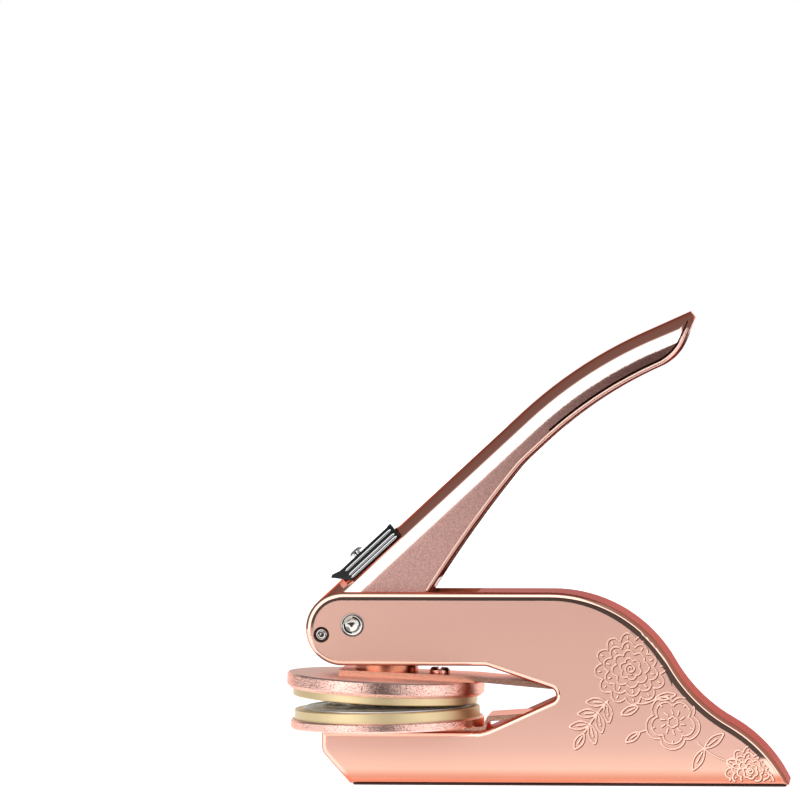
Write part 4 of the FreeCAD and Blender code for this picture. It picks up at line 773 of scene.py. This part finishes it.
def placeCamera():
    turn, height = math.radians(camera["turn"]), math.radians(camera["height"])
    away = Vector((math.sin(turn) * math.cos(height), -math.cos(turn) * math.cos(height), math.sin(height)))
    data = bpy.data.cameras.new("camera")
    data.angle = 2 * math.atan(camera["fieldWidth"] / 2 / camera["distance"])
    data.clip_start, data.clip_end = camera["clip"]
    holder = bpy.data.objects.new("camera", data)
    holder.location = Vector(camera["aim"]) + away * camera["distance"]
    facing = (-away).to_track_quat("-Z", "Y") @ Quaternion((0, 0, 1), math.radians(-camera["roll"]))
    holder.rotation_euler = facing.to_euler()
    bpy.context.scene.collection.objects.link(holder)
    bpy.context.scene.camera = holder


# Tones are brightnesses. Angles go from the front, where the lens is, to the back, and a sector
# or band has the angles at which it starts, is full, wanes and stops.
tent = {"radius": 1.0, "centre": (0.0, 0.0, 0.05), "angleStep": 2.0, "turnStep": 3.0, "blur": 4,
        "lensAngle": 14, "lensTone": 0.025, "lensReach": 24, "clothTone": 1.65,
        "drapeAngle": 68, "drapeTone": 0.22, "rearDrapeAngle": 32, "rearDrapeTone": 0.42,
        "rearSector": (8, 20, 66, 82), "sideTone": 0.8, "sideBand": (132, 142, 156, 164),
        "sideSpread": (0.05, 0.2), "backTone": 1.1, "backBand": (152, 166)}


def smooth(values, low, high):
    share = np.clip((values - low) / (high - low), 0, 1)
    return share * share * (3 - 2 * share)


def band(values, start, full, wane, stop):
    return smooth(values, start, full) * (1 - smooth(values, wane, stop))


def makeTent():
    # A light tent round the object: white cloth in front with a dark opening for the lens, grey
    # drapes overhead and behind, a softbox behind at each side and a bright back. It is a sphere
    # by the angle from the front and the turn round it, with its brightness kept at each point.
    angle, turn = np.meshgrid(np.radians(np.arange(0, 181, tent["angleStep"])),
                              np.radians(np.arange(0, 360, tent["turnStep"])), indexing="ij")
    direction = np.stack([np.sin(angle) * np.cos(turn), -np.cos(angle), np.sin(angle) * np.sin(turn)], -1)
    degrees, blur = np.degrees(angle), tent["blur"]
    rearward = band(np.degrees(turn), *tent["rearSector"])
    edge = tent["drapeAngle"] + (tent["rearDrapeAngle"] - tent["drapeAngle"]) * rearward
    cloth = band(degrees, tent["lensAngle"] - blur, tent["lensAngle"] + blur, edge - blur, edge + blur)
    sides = smooth(np.abs(direction[..., 0]) - np.abs(direction[..., 2]), *tent["sideSpread"])
    sides = sides * band(degrees, *tent["sideBand"])
    drape = tent["drapeTone"] + (tent["rearDrapeTone"] - tent["drapeTone"]) * rearward
    tone = np.where(degrees < tent["lensReach"], tent["lensTone"], drape)
    tone = tone + (tent["clothTone"] - tone) * cloth + tent["sideTone"] * sides
    tone = tone + (tent["backTone"] - tent["drapeTone"]) * smooth(degrees, *tent["backBand"])
    points = (direction * tent["radius"] + np.array(tent["centre"])).reshape(-1, 3)
    rows, columns = angle.shape
    row, column = np.meshgrid(np.arange(rows - 1), np.arange(columns), indexing="ij")
    after = (column + 1) % columns
    faces = np.stack([row * columns + column, row * columns + after, (row + 1) * columns + after,
                      (row + 1) * columns + column], -1).reshape(-1, 4)
    material, tree, shader = newMaterial("studio tent cloth", "Emission")
    feed(tree, shader, Strength=addNode(tree, "Attribute", attribute_name="tone").node.outputs["Fac"])
    piece = meshPiece("light_tent", points, faces, material)
    kept = piece.data.attributes.new("tone", "FLOAT", "POINT")
    kept.data.foreach_set("value", tone.ravel().astype(np.float32))
    piece.visible_camera = False
    piece.visible_shadow = False


frontCloth = {"start": -0.086, "startX": (-0.1, 0.08), "stop": -0.99, "stopX": (-0.32, 0.22),
              "height": 0.0006, "tone": 0.01, "roughness": 0.9}


def makeFrontCloth():
    # A black cloth on the floor in front, under the lens, that only reflections see.
    (left, right), (stopLeft, stopRight) = frontCloth["startX"], frontCloth["stopX"]
    start, stop, height, tone = (frontCloth[key] for key in ("start", "stop", "height", "tone"))
    corners = np.array([(left, start, height), (right, start, height), (stopRight, stop, height),
                        (stopLeft, stop, height)])
    material, _, _ = newMaterial("black studio cloth", Base_Color=(tone, tone, tone, 1),
                                 Roughness=frontCloth["roughness"], Emission_Color=(1, 1, 1, 1),
                                 Emission_Strength=tent["lensTone"])
    cloth = meshPiece("front_cloth", corners, np.array([(0, 1, 2, 3)]), material)
    cloth.visible_camera = cloth.visible_diffuse = cloth.visible_shadow = False


def makeWorld():
    world = bpy.data.worlds.new("white backdrop")
    world.use_nodes = True
    world.node_tree.nodes.clear()
    backdrop = addNode(world.node_tree, "Background", ((1, 1, 1, 1), 1.0))
    addNode(world.node_tree, "OutputWorld", [backdrop])
    bpy.context.scene.world = world


studioFloor = {"half": 3.0, "tone": 0.75, "roughness": 0.6, "glow": 0.8}


def makeFloor():
    # White to the camera and to what mirrors it, with the object's soft shadow left in it.
    half, tone = studioFloor["half"], studioFloor["tone"]
    corners = np.array([(-half, -half, 0), (half, -half, 0), (half, half, 0), (-half, half, 0)])
    material, tree, shader = newMaterial("white studio floor", Base_Color=(tone, tone, tone, 1),
                                         Roughness=studioFloor["roughness"], Emission_Color=(1, 1, 1, 1))
    light = addNode(tree, "LightPath").node.outputs
    seen = addNode(tree, "Math", (light["Is Camera Ray"], light["Is Glossy Ray"]), operation="MAXIMUM")
    seen = addNode(tree, "Math", (seen, light["Is Transmission Ray"]), operation="MAXIMUM")
    strength = addNode(tree, "Math", (seen, studioFloor["glow"]), operation="MULTIPLY")
    feed(tree, shader, Emission_Strength=strength)
    meshPiece("floor", corners, np.array([(0, 1, 2, 3)]), material)


placeCamera()
makeTent()
makeFrontCloth()
makeWorld()
makeFloor()
bpy.context.scene.view_settings.view_transform = "Standard"
print("studio built")
